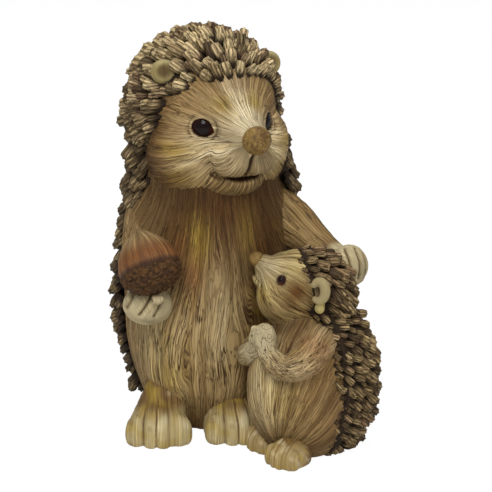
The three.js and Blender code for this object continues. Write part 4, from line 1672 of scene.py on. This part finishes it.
@dataclass
class Dome:
    """A rounded form that carries a coat, up to a hairline.

    Attributes:
        matrix: The form's frame.
        middle: Its middle.
        half: Its half widths.
        pole: The way to the bare part's middle.
        hairline: The coat's edge: degrees from the pole, at degrees turned from the top to either side.
    """

    matrix: Matrix
    middle: Point
    half: Point
    pole: Point
    hairline: Sequence[Pair]

    def basis(self) -> Array:
        """The ways to the side, the top and the pole, as rows.

        Returns:
            Three rows.
        """
        pole = unit(np.array(self.pole, float))
        top = unit(np.array((0, 0, 1.0)) - pole[2] * pole)
        return np.array([np.cross(top, pole), top, pole])

    def edge(self, turns: Array) -> Array:
        """The hairline's lean from the pole at turns from the top, in radians."""
        at, lean = np.array(self.hairline).T
        return np.radians(np.interp(np.degrees(np.abs(turns)), at, lean))

    def roots(self, pitch: Pair) -> Roots:
        """Spaced places in rows that follow the hairline.

        Args:
            pitch: The spacing along a row, and between rows.

        Returns:
            The places of the spines.
        """
        turns = np.linspace(-math.pi, math.pi, 241)
        start = self.edge(turns) + 0.02 * np.sin(9 * turns)
        size = float(np.mean(self.half))
        rows = int((math.pi - start.mean()) * size / pitch[1])
        ways, shares = [], []
        for row in range(rows):
            share = (row - 0.35) / rows
            lean = start + (math.pi - start) * share
            ring = np.column_stack([np.sin(lean) * np.sin(turns), np.sin(lean) * np.cos(turns), np.cos(lean)])
            ring = ring @ self.basis()
            steps = np.linalg.norm(np.diff(ring * self.half, axis=0), axis=1)
            reach = np.concatenate([[0], np.cumsum(steps)])
            count = max(int(reach[-1] / pitch[0]), 3)
            wanted = (np.arange(count) + 0.5 * (row % 2)) * reach[-1] / count
            ways.append(unit(np.column_stack([np.interp(wanted, reach, ring[:, k]) for k in range(3)])))
            shares.append(np.full(count, share))
        ways = np.vstack(ways)
        places = moved(ways * self.half + np.array(self.middle), self.matrix)
        normals = moved(unit(ways / np.array(self.half)), self.matrix.to_3x3().to_4x4())
        return Roots(places, normals, np.concatenate(shares))

    def hide(self) -> bpy.types.Object:
        """The skin under the coat: the form, sunk under the casting where that is bare.

        Returns:
            The skin's object.
        """
        obj = add_ball(self.middle, self.half, self.matrix, 96)
        clay = Clay(obj)
        local = (clay.within(self.matrix) - np.array(self.middle)) / np.array(self.half)
        side, top, pole = (unit(local) @ self.basis().T).T
        inside_edge = np.arccos(np.clip(pole, -1, 1)) < self.edge(np.arctan2(side, top)) + 0.1
        local *= np.where(inside_edge, 0.86, 0.985)[:, None]
        clay.points = moved(local * np.array(self.half) + np.array(self.middle), self.matrix)
        clay.points[:, 2] = np.maximum(clay.points[:, 2], 0.5)
        clay.set_down()
        return obj


@dataclass
class Back:
    """The mother's back: an upright turned form that carries a coat behind a front edge.

    Attributes:
        stations: Half width and height of its outline.
        fronts: How far forward its coat reaches, and the heights.
        shifts: How far its middle lies towards the figure's left, and the heights.
    """

    stations: Sequence[Pair] = field(default_factory=lambda: [
        (49, 0), (66, 38), (79, 84), (83, 130), (80, 170), (78, 200), (73, 245), (68, 285)])
    fronts: Sequence[Pair] = ((12, 0), (8, 90), (2, 170), (-14, 205), (-30, 240), (-30, 300))
    shifts: Sequence[Pair] = ((-2, 0), (-2, 150), (5.5, 215), (5, 262), (0, 285))

    def front(self, heights: Array) -> Array:
        """How far forward the coat reaches at heights."""
        reach, at = np.array(self.fronts).T
        return np.interp(heights, at, reach)

    def shift(self, heights: Array) -> Array:
        """How far its middle lies towards the figure's left at heights."""
        reach, at = np.array(self.shifts).T
        return np.interp(heights, at, reach)

    def roots(self, pitch: Pair) -> Roots:
        """Spaced places in level rows.

        Args:
            pitch: The spacing along a row, and between rows.

        Returns:
            The places of the spines.
        """
        outline = spline(self.stations, 200)
        top = self.stations[-1][1]
        rows = int(top / pitch[1])
        found = []
        for row in range(rows):
            height = top * (row + 0.9) / rows
            radius = float(np.interp(height, outline[:, 1], outline[:, 0]))
            first = math.asin(float(self.front(height)) / radius)
            count = int((math.pi - 2 * first) * radius / pitch[0])
            shift = float(self.shift(height))
            for k in range(count + 1):
                angle = first + (math.pi - 2 * first) * (k + 0.5 * (row % 2)) / count
                x, y = math.cos(angle), math.sin(angle)
                found.append((radius * x + shift, radius * y, height, x, y, 0, min(k, count - k) / 5))
        table = np.array(found)
        return Roots(table[:, :3], table[:, 3:6], np.minimum(table[:, 6], 1))

    def hide(self) -> bpy.types.Object:
        """The skin under the coat, sunk into the torso in front of the coat's edge.

        Returns:
            The skin's object.
        """
        line = [(0, 0, max(height, 0.6)) for _, height in self.stations]
        obj = add_tube(line, [radius for radius, _ in self.stations], domed=False)[0]
        clay = Clay(obj)
        sunk = np.where(clay.points[:, 1] < self.front(clay.points[:, 2]) + 7, 0.84, 0.985)
        clay.points[:, :2] *= sunk[:, None]
        clay.points[:, 0] += self.shift(clay.points[:, 2])
        clay.set_down()
        return obj


# How far spines stray from their row, as a share of the pitch, and from their lie, in degrees
ROOT_DISORDER = 0.35
SWING = 36
LIFT_SPREAD = 20
ROLL = 50

# The ground that spines and their roots keep above
LOWEST_POINT = 0.2
LOWEST_ROOT = 3


@dataclass
class Coat:
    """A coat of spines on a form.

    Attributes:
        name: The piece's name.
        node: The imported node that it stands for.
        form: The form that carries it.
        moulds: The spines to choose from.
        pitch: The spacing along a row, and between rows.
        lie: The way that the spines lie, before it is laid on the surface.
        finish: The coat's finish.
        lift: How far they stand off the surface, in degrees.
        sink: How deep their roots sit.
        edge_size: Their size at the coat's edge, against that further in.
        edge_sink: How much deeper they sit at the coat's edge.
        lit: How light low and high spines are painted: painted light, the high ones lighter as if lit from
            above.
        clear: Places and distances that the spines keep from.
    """

    name: str
    node: str
    form: Dome | Back
    moulds: Sequence[bpy.types.Object]
    pitch: Pair
    lie: Point
    finish: SpinePaint
    lift: float = 16
    sink: float = 3.5
    edge_size: float = 0.75
    edge_sink: float = 2.0
    lit: Pair = (0.45, 1.6)
    clear: Sequence[tuple[Point, float]] = ()

    def build(self, others: Sequence[BVHTree]) -> None:
        """Plants the spines on the form's hide.

        Args:
            others: The neighbours that no spine starts inside.
        """
        hide = self.form.hide()
        clay = Clay(hide)
        # The hide between the spines is painted as dark as their roots: painted shade under the coat.
        clay.write("spine", coated(clay.points, (0.2, 0.1, 0.0)), "FLOAT_COLOR")
        clay.write("grain", clay.points / 3)
        rng = np.random.default_rng(SEED)
        roots = self.form.roots(self.pitch)
        spines = []
        for place, normal, share in zip(roots.places, roots.normals, roots.shares):
            draws = rng.random(11)
            lie = unit(np.array(self.lie) - (np.array(self.lie) @ normal) * normal)
            place = place + np.cross(normal, lie) * (draws[8] - 0.5) * self.pitch[0] * ROOT_DISORDER
            place = place + lie * (draws[9] - 0.5) * self.pitch[1] * ROOT_DISORDER
            middle = place + unit(np.array(self.lie)) * 9 + normal * 3
            crowded = any(np.linalg.norm(middle - np.array(at)) < gap for at, gap in self.clear)
            if place[2] < LOWEST_ROOT or crowded:
                continue
            if any(inside(tree, Vector(place) + Vector(normal) * 4) for tree in others):
                continue
            spines.append(self.plant(place, normal, share, draws))
        select_only(*spines, hide)
        bpy.ops.object.join()
        hide.name = hide.data.name = self.name
        coat = Clay(hide)
        coat.points[:, 2] = np.maximum(coat.points[:, 2], LOWEST_POINT)
        coat.set_down()
        log.info("%s: %d spines", self.name, len(spines))
        settle(hide, self.finish, Slot.SPINE, self.node)

    def plant(self, place: Array, normal: Array, share: float, draws: Array) -> bpy.types.Object:
        """Copies a mould to a place, lying along the coat, with some disorder.

        Args:
            place: Where the spine grows.
            normal: The outward normal there.
            share: How far it is from the coat's edge, from 0 to 1.
            draws: Random numbers from 0 to 1.

        Returns:
            The spine.
        """
        pick, swing, lift, length, width, tone, cloud, roll = draws[:8]
        mould = self.moulds[int(pick * len(self.moulds))]
        lie = np.array(self.lie, float)
        along = unit(lie - (lie @ normal) * normal)
        swing = math.radians(SWING * (swing - 0.5))
        along = along * math.cos(swing) + np.cross(normal, along) * math.sin(swing)
        lift = math.radians(self.lift + LIFT_SPREAD * (lift - 0.5))
        forward = along * math.cos(lift) + normal * math.sin(lift)
        right = unit(np.cross(forward, normal))
        top = np.cross(right, forward)
        roll = math.radians(ROLL * (roll - 0.5))
        cosine, sine = math.cos(roll), math.sin(roll)
        right, top = right * cosine + top * sine, top * cosine - right * sine
        size = (0.84 + 0.3 * length) * (self.edge_size + (1 - self.edge_size) * min(share * 3, 1))
        copy = mould.copy()
        copy.data = mould.data.copy()
        bpy.context.scene.collection.objects.link(copy)
        axes = np.column_stack([right * size * (0.9 + 0.2 * width), forward * size, top * size])
        root = place - normal * (self.sink + self.edge_sink * max(1 - share * 8, 0))
        copy.data.transform(Matrix([[*row, shift] for row, shift in zip(axes, root)] + [[0, 0, 0, 1]]))
        count = len(copy.data.vertices)
        values = np.empty(count * 4, np.float32)
        layer = copy.data.attributes["spine"].data
        layer.foreach_get("color", values)
        # The spine's tone, scaled by painted light that is strongest on the crown.
        values[0::4] = tone * self.painted_crown_light(place)
        layer.foreach_set("color", values)
        grain = np.empty(count * 3, np.float32)
        layer = copy.data.attributes["grain"].data
        layer.foreach_get("vector", grain)
        layer.foreach_set("vector", grain + np.float32(60 * cloud))
        return copy

    def painted_crown_light(self, place: Array) -> float:
        """How light the spine at a place is painted: painted light, lightest on the crown as if lit from
        above, in painted shade lower down.
        """
        low, high = self.lit
        return float(low + (high - low) * smoothstep(np.array([place[2]]), 275, 340)[0])


def inside(tree: BVHTree, point: Vector) -> bool:
    """Whether a point lies inside a closed skin."""
    spot, normal, _, _ = tree.find_nearest(point)
    return (point - spot).dot(normal) < 0


def world_way(matrix: Matrix, way: Point) -> Point:
    """A direction of a frame, in the figure's layout."""
    return tuple(matrix.to_3x3() @ Vector(way))


def plant_coats(skins: dict[str, BVHTree]) -> None:
    """Plants all four coats of spines.

    Args:
        skins: The castings that the spines stand beside.
    """
    large, crown, small = moulds(14.6, 24), moulds(13.4, 23), moulds(9.8, 19)
    ears = [(tuple(HEAD @ Vector((side * 54, -31, 37))), 12.5) for side in (1, -1)]
    young_ears = [(tuple(YOUNG_HEAD @ Vector((side * 41, y, z))), gap)
                  for side in (1, -1) for y, z, gap in ((8.5, 15, 12.0), (19, 0, 8.0))]
    cap = Dome(
        HEAD, middle=(0, 0, -4), half=(67, 67, 70), pole=(0, -0.978, -0.208),
        hairline=((0, 47), (10, 47), (27, 53), (47, 60), (63, 65), (77, 67), (90, 69), (114, 76), (137, 84),
                  (180, 88)))
    young_back = Dome(
        YOUNG, middle=(0, 4, 66), half=(52, 60, 79), pole=(0, -1, 0),
        hairline=((0, 87), (60, 92), (100, 92), (180, 84)))
    young_cap = Dome(
        YOUNG_HEAD, middle=(0, 6, 0), half=(36.5, 41, 36.5), pole=(0, -0.76, -0.65),
        hairline=((0, 80), (60, 92), (90, 97), (180, 100)))
    mother = [skins[name] for name in ("head", "torso", "right_arm", "left_arm")]
    beside_young = [skins[name] for name in ("torso", "young_head", "young_near_arm", "left_arm")]
    Coat("back_spines", "back_coat", Back(), large, (11.0, 10.0), (0, 0.7, -0.75), SPINES, lift=19,
         sink=2.5).build(mother)
    Coat("head_spines", "head_coat", cap, crown, (8.3, 7.6), world_way(HEAD, (0, 1, -0.3)), SPINES, lift=17,
         sink=1.5, edge_size=0.8, clear=ears).build([skins["head"]])
    down_back, down_cap = world_way(YOUNG, (0, 1, -0.75)), world_way(YOUNG_HEAD, (0, 1, -0.1))
    Coat("young_back_spines", "young_back_coat", young_back, small, (7.4, 9.0), down_back, YOUNG_SPINES,
         lift=16, sink=1.8, edge_size=0.7, edge_sink=4.0, lit=(0.9, 0.9),
         clear=young_ears).build(beside_young)
    Coat("young_head_spines", "young_head_coat", young_cap, small, (6.2, 7.0), down_cap, YOUNG_SPINES,
         lift=16, sink=1.5, edge_size=0.6, edge_sink=2.5, lit=(0.9, 0.9),
         clear=young_ears).build([skins["young_head"]])
    for mould in large + crown + small:
        bpy.data.objects.remove(mould)


@dataclass
class YoungOne:
    """The young hedgehog's castings.

    Attributes:
        body_half: The body's half widths.
        body_height: The height of the body's middle.
        arm_line: The left arm's middle line.
        arm_radii: The arms' radius from shoulder to wrist.
        smile: Points on the line of the lips, from the middle to the left corner.
        eye_place: The left eye's middle, in the head's frame.
        eye_radius: The eyeballs' radius.
    """

    body_half: Point = (49, 54, 72)
    body_height: float = 60
    arm_line: Sequence[Point] = field(default_factory=lambda: [
        (27, -2, 108), (38, -22, 99), (35, -40, 93), (22, -49, 102), (9, -47, 115)])
    arm_radii: Sequence[float] = (16, 14.5, 11.8, 9.8, 8.6)
    smile: Sequence[Point] = (
        (0, -41, -14), (8, -37, -16), (18, -26, -17), (26, -12, -13), (30, 1, -13), (31, 12, -12))
    eye_place: Point = (25.5, -21, 1)
    eye_radius: float = 4.4

    def body(self) -> Clay:
        """Shapes the body."""
        parts = [add_ball((0, 0, self.body_height), self.body_half, YOUNG, 64)]
        return Clay(fuse(parts, "young_body_fur", voxel=2.2, smooth=4, ground=True))

    def dress_body(self, clay: Clay) -> None:
        """Carves and paints the body.

        Args:
            clay: The shaped piece.
        """
        local = clay.within(YOUNG)
        grain = fan_grain(local, (0, 0, self.body_height), (0.25, -0.55, -0.8), 52)
        carve_fur(clay, grain, 2.4, 0.42)
        wash = sprayed(local, TAN, [
            Spray((8, -52, 70), (28, 20, 44), (0.56, 0.45, 0.24), 0.9),
            Spray((0, -40, 10), (50, 40, 18), BROWN, 0.8),
            Spray((44, 4, 60), (14, 20, 50), BROWN, 0.6),
            Spray((30, -40, 60), (12, 20, 20), OCHRE, 0.3),
            Spray((-30, -30, 60), (20, 40, 60), BROWN, 0.6),
            # Painted shade under the young's head, with brown paint.
            Spray((0, -30, 122), (40, 40, 14), UMBER, 0.7)])
        finish_fur(clay, grain, wash, 0.8)
        settle(clay.obj, YOUNG_FUR, Slot.FUR, "young_body")

    def head(self) -> Clay:
        """Shapes the head.

        Returns:
            The shaped piece, before it is dressed.
        """
        parts = [add_ball((0, 0, 0), (34, 34, 34), YOUNG_HEAD)]
        parts += add_tube([(0, -12, -3), (0, -28, -3), (0, -37, -2)], [27, 18.5, 10], YOUNG_HEAD)
        parts.append(add_ball((0, -30, -14), (11, 11, 8), YOUNG_HEAD))
        for side in (1, -1):
            parts.append(add_ball((side * 9, -8, -15), (24, 24, 24), YOUNG_HEAD))
        clay = Clay(fuse(parts, "young_head_fur", voxel=1.4, smooth=8))
        folded = fold(clay.within(YOUNG_HEAD))
        clay.push(-1.7 * bell(distance_to_line(folded, spline(self.smile, 40)), 1.7))
        self.open_eyes(clay)
        return clay

    def open_eyes(self, clay: Clay) -> None:
        """Sinks the eyes, with a thin lid round each.

        Args:
            clay: The shaped piece.
        """
        for side in (1, -1):
            away = away_from(clay.within(YOUNG_HEAD), sided(self.eye_place, side))
            radius = self.eye_radius
            rise = 0.6 * bell(away - radius - 0.6, 1.1)
            rise -= 2.5 * smoothstep(away, radius, radius - 2)
            clay.push(rise)

    def dress_head(self, clay: Clay) -> None:
        """Carves and paints the head.

        Args:
            clay: The shaped piece.
        """
        local = clay.within(YOUNG_HEAD)
        folded = fold(local)
        grain = fan_grain(local, (0, -4, -3), (0, -1, 0), 32)
        radius = np.hypot(local[:, 0], local[:, 2] + 3)
        eye_away = away_from(folded, self.eye_place)
        carve_fur(clay, grain, 2.4, 0.35, smoothstep(radius, 6, 18) * smoothstep(eye_away, 5, 9))
        wash = sprayed(folded, (0.40, 0.31, 0.135), [
            Spray((12, -34, 0), (16, 14, 14), (0.60, 0.50, 0.30), 0.95),
            Spray((22, -26, -10), (10, 12, 9), PALE, 0.6),
            Spray((33, -5, 1), (10, 12, 13), (0.13, 0.055, 0.013), 1.0),
            Spray((20, -24, -20), (9, 9, 7), OCHRE, 0.8),
            Spray((31, -2, -14), (12, 12, 5), BROWN, 0.6),
            Spray((20, -8, -30), (24, 20, 9), BROWN, 0.6),
            Spray((20, 16, 0), (40, 9, 40), BROWN, 0.8)])
        # Painted shade at the lid round the sunk eye.
        wash = blend(wash, UMBER, 0.8 * bell(eye_away - self.eye_radius, 1.2))
        finish_fur(clay, grain, wash, 0.7)
        settle(clay.obj, YOUNG_FUR, Slot.FUR, "young_head")

    def line_of(self, side: int) -> list[Point]:
        """An arm's middle line; the far paw is held a little lower."""
        shift = Vector((0, 0, 0) if side > 0 else (4.5, 2, -12))
        return [tuple(Vector(sided(place, side)) + shift * k / 4) for k, place in enumerate(self.arm_line)]

    def arm(self, side: int, name: str) -> Clay:
        """Shapes an arm with its clasped paw.

        Args:
            side: 1 for the left arm, -1 for the right one.
            name: The piece's name.

        Returns:
            The arm's skin.
        """
        line = self.line_of(side)
        parts = add_tube(line, self.arm_radii, YOUNG)
        size = 1.12 if side > 0 else 0.85
        parts.append(add_ball(line[-1], (10 * size, 9.5 * size, 12 * size), YOUNG))
        wrist = Vector(line[-1])
        for k in range(3):
            tip = wrist + Vector((side * (4.6 - 4.8 * k), -6.5, 8 - abs(k - 1))) * size
            knuckle = wrist + Vector((side * (4.6 - 4.8 * k), -8, -1)) * size
            parts += add_tube([tuple(knuckle), tuple(tip)], [3.3 * size, 3.1 * size], YOUNG)
        return Clay(fuse(parts, name, voxel=1.25, smooth=3))

    def dress_arm(self, clay: Clay, side: int, node: str) -> None:
        """Carves and paints an arm.

        Args:
            clay: The shaped piece.
            side: 1 for the left, -1 for the right.
            node: The CAD node that it replaces.
        """
        local = clay.within(YOUNG)
        line = self.line_of(side)
        grain = limb_grain(local, line, 11)
        wrist = np.array(line[-1])
        paw = smoothstep(away_from(local, wrist, (11, 13, 16)), 1.5, 1.0)
        carve_fur(clay, grain, 2.4, 0.35, 1 - 0.7 * paw)
        cracks = np.abs(noise_at(local, 5.0, 9.0))
        clay.push(-0.55 * paw * bell(cracks, 0.07))
        shoulder = away_from(local, (side * 37, -14, 104))
        wash = coated(local, (0.36, 0.27, 0.14))
        wash = blend(wash, (0.30, 0.13, 0.045), 0.9 * bell(shoulder, 15))
        wash = blend(wash, (0.44, 0.37, 0.22), 0.95 * smoothstep(away_from(local, wrist), 34, 16))
        # The cracks in the paw: umber wash, and painted shade.
        wash = blend(wash, UMBER, 0.6 * paw * bell(cracks, 0.045))
        finish_fur(clay, grain, wash, 0.7, paw)
        settle(clay.obj, YOUNG_FUR, Slot.FUR, node)

    def small_parts(self) -> None:
        """Makes the nose, the eyes and the ears."""
        nose = Clay(add_ball((0, -47, -1.5), (6.9, 6.6, 6.9), YOUNG_HEAD, 40))
        nose.obj.name = nose.obj.data.name = "young_nose_ball"
        nose.push(0.25 * noise_at(nose.points, 5))
        settle(nose.obj, NOSE_PAINT, Slot.NOSE, "young_nose")
        for side, name in ((1, "left"), (-1, "right")):
            eye = YOUNG_HEAD @ aimed(sided(self.eye_place, side), (side * 0.9, -0.42, 0.12))
            make_eye(f"young_{name}_eyeball", eye, self.eye_radius, f"young_{name}_eye")
            self.add_ear(side, name)

    def add_ear(self, side: int, name: str) -> None:
        """Makes an ear: a C-shaped rim with a small lobe under it.

        Args:
            side: 1 for the left, -1 for the right.
            name: The piece's name.
        """
        place = YOUNG_HEAD @ placed((side * 41, 8.5, 15), (35, 0, 0)) @ placed((0, 0, 0), (0, 0, side * 82))
        ring = [(side * 5.6 * math.sin(math.radians(a)), 0, 8.8 * math.cos(math.radians(a)))
                for a in range(-50, 236, 26)]
        parts = add_tube(ring, [3.2, 4.0, 4.6, 4.8, 4.5, 4.0, 3.4], place)
        parts.append(add_ball((side * 1.5, 4.2, 0), (6.0, 3.0, 9.0), place))
        parts.append(add_ball((side * 0.5, 2.0, -16.5), (4.6, 4.2, 5.0), place))
        parts += add_tube([(side * 2, 4, -6), (side * 1.5, 4, -16)], [3.4, 3.4], place)
        clay = Clay(fuse(parts, f"young_{name}_ear_lobe", voxel=1.0, smooth=3))
        local = clay.within(place)
        grain = fan_grain(local, (0, 0, 0), (0, 0, 1), 9)
        wash = coated(local, (0.31, 0.25, 0.125))
        inner = bell(away_from(local, (side * -1.5, 1, 0), (4.0, 4, 6)))
        # The ear's hollow darker: dark paint, and painted shade.
        wash = blend(wash, (0.07, 0.04, 0.015), 0.95 * inner * (local[:, 1] > -1.5))
        wash = blend(wash, (0.42, 0.34, 0.12), 0.7 * smoothstep(local[:, 2], -8, -14))
        finish_fur(clay, grain, wash, 0.6, 0.9)
        settle(clay.obj, PALE_RESIN, Slot.PALE, f"young_{name}_ear")


# The studio


@dataclass(frozen=True)
class Lamp:
    """A soft area lamp that looks at the figure.

    Attributes:
        name: Its name.
        place: Where it stands, in metres.
        size: Its width.
        power: Its power in watts.
    """

    name: str
    place: Point
    size: float
    power: float

    def build(self, target: Vector) -> None:
        """Adds the lamp, aimed at a target.

        Args:
            target: Where it points.
        """
        bpy.ops.object.light_add(type="AREA", location=self.place)
        lamp = bpy.context.object
        lamp.name = self.name
        lamp.data.size = self.size
        lamp.data.energy = self.power
        lamp.rotation_euler = (target - Vector(self.place)).to_track_quat("-Z", "Y").to_euler()


@dataclass
class Studio:
    """The floor, the lamps and the camera.

    Attributes:
        azimuth: The camera's turn about the figure, in degrees; 0 looks along +Y.
        elevation: Its height over the horizon, in degrees.
        distance: How far it is from its target, in metres.
        aim: The target, in metres, across the view and up, from the torso's axis.
        lens: Its focal length in millimetres.
        sensor: Its sensor's width in millimetres.
        world_light: How strongly the world lights the figure.
        floor_size: The floor's width, in metres.
        floor_drop: How far the floor lies under the ground, in metres.
        lamps: The lamps.
    """

    azimuth: float = -10
    elevation: float = 15
    distance: float = 1.7
    aim: Pair = (0.037, 0.166)
    lens: float = 131.85
    sensor: float = 36
    world_light: float = 0.32
    floor_size: float = 14
    floor_drop: float = 0.0003
    lamps: Sequence[Lamp] = (
        Lamp("key", (-0.6, -1.6, 1.9), 1.1, 40),
        Lamp("fill", (1.5, -1.3, 0.8), 1.4, 6),
        Lamp("top", (0.1, 0.2, 2.2), 1.2, 16),
    )

    def build(self) -> None:
        """Builds the whole studio."""
        turn, rise = math.radians(self.azimuth), math.radians(self.elevation)
        right = Vector((math.cos(turn), math.sin(turn), 0))
        back = Vector((math.sin(turn) * math.cos(rise), -math.cos(turn) * math.cos(rise), math.sin(rise)))
        axis = figure_to_frame().to_translation()
        target = axis + right * self.aim[0] + Vector((0, 0, self.aim[1]))
        bpy.ops.object.camera_add(location=target + back * self.distance)
        camera = bpy.context.object
        camera.rotation_euler = (-back).to_track_quat("-Z", "Y").to_euler()
        camera.data.lens = self.lens
        camera.data.sensor_width = self.sensor
        bpy.context.scene.camera = camera
        for lamp in self.lamps:
            lamp.build(target)
        self.add_world()
        self.add_floor()
        bpy.context.scene.view_settings.view_transform = "Standard"

    def add_world(self) -> None:
        """Sets a plain pale world, which shows as white."""
        world = bpy.context.scene.world or bpy.data.worlds.new("studio")
        bpy.context.scene.world = world
        paint = Paint("world", world)
        seen = paint.node("ShaderNodeLightPath", None, None, "Is Camera Ray")
        light = {"Color": (1, 0.99, 0.97), "Strength": self.world_light}
        soft = paint.node("ShaderNodeBackground", None, light)
        white = paint.node("ShaderNodeBackground", None, {"Color": (1, 1, 1), "Strength": 1})
        mixed = paint.node("ShaderNodeMixShader", None, {0: seen, 1: soft, 2: white})
        paint.end(mixed, "ShaderNodeOutputWorld")

    def add_floor(self) -> None:
        """Adds the pale floor, which shows nearly white and keeps the figure's shadow."""
        bpy.ops.mesh.primitive_plane_add(size=self.floor_size, location=(0, 0, -self.floor_drop))
        floor = bpy.context.object
        floor.name = "floor"
        paint = Paint("pale_floor")
        lit = paint.node("ShaderNodeBsdfDiffuse", None, {"Color": (0.86, 0.86, 0.85)})
        glow = paint.node("ShaderNodeEmission", None, {"Color": (1.0, 1.0, 1.0), "Strength": 1.05})
        path = paint.node("ShaderNodeLightPath", None, None, "Is Camera Ray")
        mixed = paint.node("ShaderNodeMixShader", None, {0: path * 0.92, 1: lit, 2: glow})
        floor.data.materials.append(paint.end(mixed))


def dress_hidden_nodes() -> None:
    """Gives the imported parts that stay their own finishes: plate, plug and dowels."""
    castings = {"base_plate": BARE_RESIN, "young_plug": RUBBER}
    for name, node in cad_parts.items():
        finish = STEEL if name.endswith("dowel") else castings.get(name)
        if finish:
            node.data.materials.clear()
            node.data.materials.append(material_of(finish))
            log.info("%s: kept, finished as %s", name, finish.name)


def main() -> None:
    """Builds the figure, piece by piece, and the studio round it."""
    Studio().build()
    torso, head, young = Torso(), Head(), YoungOne()
    right_arm = Arm(
        "right_arm_fur", "right_arm",
        line=[(-50, -6, 204), (-62, -24, 180), (-67, -40, 158), (-68, -52, 144), (-67, -61, 137)],
        paw=placed((-66.5, -71, 132), (18, 6, -8)),
        grooves=[[(-11, 18), (-18, 2)], [(4, 18), (-6, 0)], [(15, 16), (8, 0)]],
        radii=(21, 19, 17, 15, 13), palm=(21.5, 17, 18), knob=(-59, -92, 143.6))
    left_arm = Arm(
        "left_arm_fur", "left_arm",
        line=[(58, -4, 202), (76, -21, 193), (90, -44, 180), (104, -66, 170), (114, -78, 166)],
        paw=placed((118, -84, 164)),
        grooves=[[(-6, 17), (-3, 5), (-4, -9)], [(4, 18), (7, 5), (6, -9)], [(12, 14), (14, 3), (13, -9)]],
        radii=(24.5, 22, 18.5, 15, 13), palm=(17.5, 16, 20))
    feet = [
        Foot("right_foot_toes", "right_foot", placed((-54.5, -56, 0), (0, 0, -8)), (13, 26, 44)),
        Foot("left_foot_toes", "left_foot", placed((15, -60, 0), (0, 0, 2)), (0, 24, 36))]
    small = {"width": 34, "length": 44, "height": 26, "toe": 4.8, "tint": (0.36, 0.265, 0.12), "voxel": 1.2}
    feet += [
        Foot("young_left_toes", "young_left_foot", YOUNG @ placed((27, -30, 0), (0, 0, 20)), **small),
        Foot("young_right_toes", "young_right_foot", YOUNG @ placed((-16, -28, 0), (0, 0, -2)), **small)]
    clays = {
        "torso": torso.rough(), "head": head.rough(), "right_arm": right_arm.rough(),
        "left_arm": left_arm.rough(), "young_body": young.body(), "young_head": young.head(),
        "young_near_arm": young.arm(1, "young_left_arm_fur"),
        "young_far_arm": young.arm(-1, "young_right_arm_fur")}
    skins = {name: clay.tree() for name, clay in clays.items()}
    melts = (
        ("torso", "right_arm", 18), ("torso", "left_arm", 18), ("right_arm", "torso", 18),
        ("left_arm", "torso", 18), ("head", "torso", 26), ("torso", "head", 26),
        ("young_near_arm", "young_body", 8), ("young_body", "young_near_arm", 8),
        ("young_head", "young_body", 10), ("young_body", "young_head", 10))
    for name, other, reach in melts:
        clays[name].melt_into(skins[other], reach)
    torso.dress(clays["torso"])
    head.dress(clays["head"])
    head.add_eyes()
    head.add_nose()
    head.add_ears()
    right_arm.dress(clays["right_arm"])
    left_arm.dress(clays["left_arm"])
    for foot in feet:
        foot.dress(foot.rough())
    Acorn(aimed((-63, -86, 165.5), (-0.22, 0.54, 0.81))).build()
    young.dress_body(clays["young_body"])
    young.dress_head(clays["young_head"])
    young.dress_arm(clays["young_near_arm"], 1, "young_left_arm")
    young.dress_arm(clays["young_far_arm"], -1, "young_right_arm")
    young.small_parts()
    plant_coats(skins)
    dress_hidden_nodes()


if __name__ == "__main__":
    main()
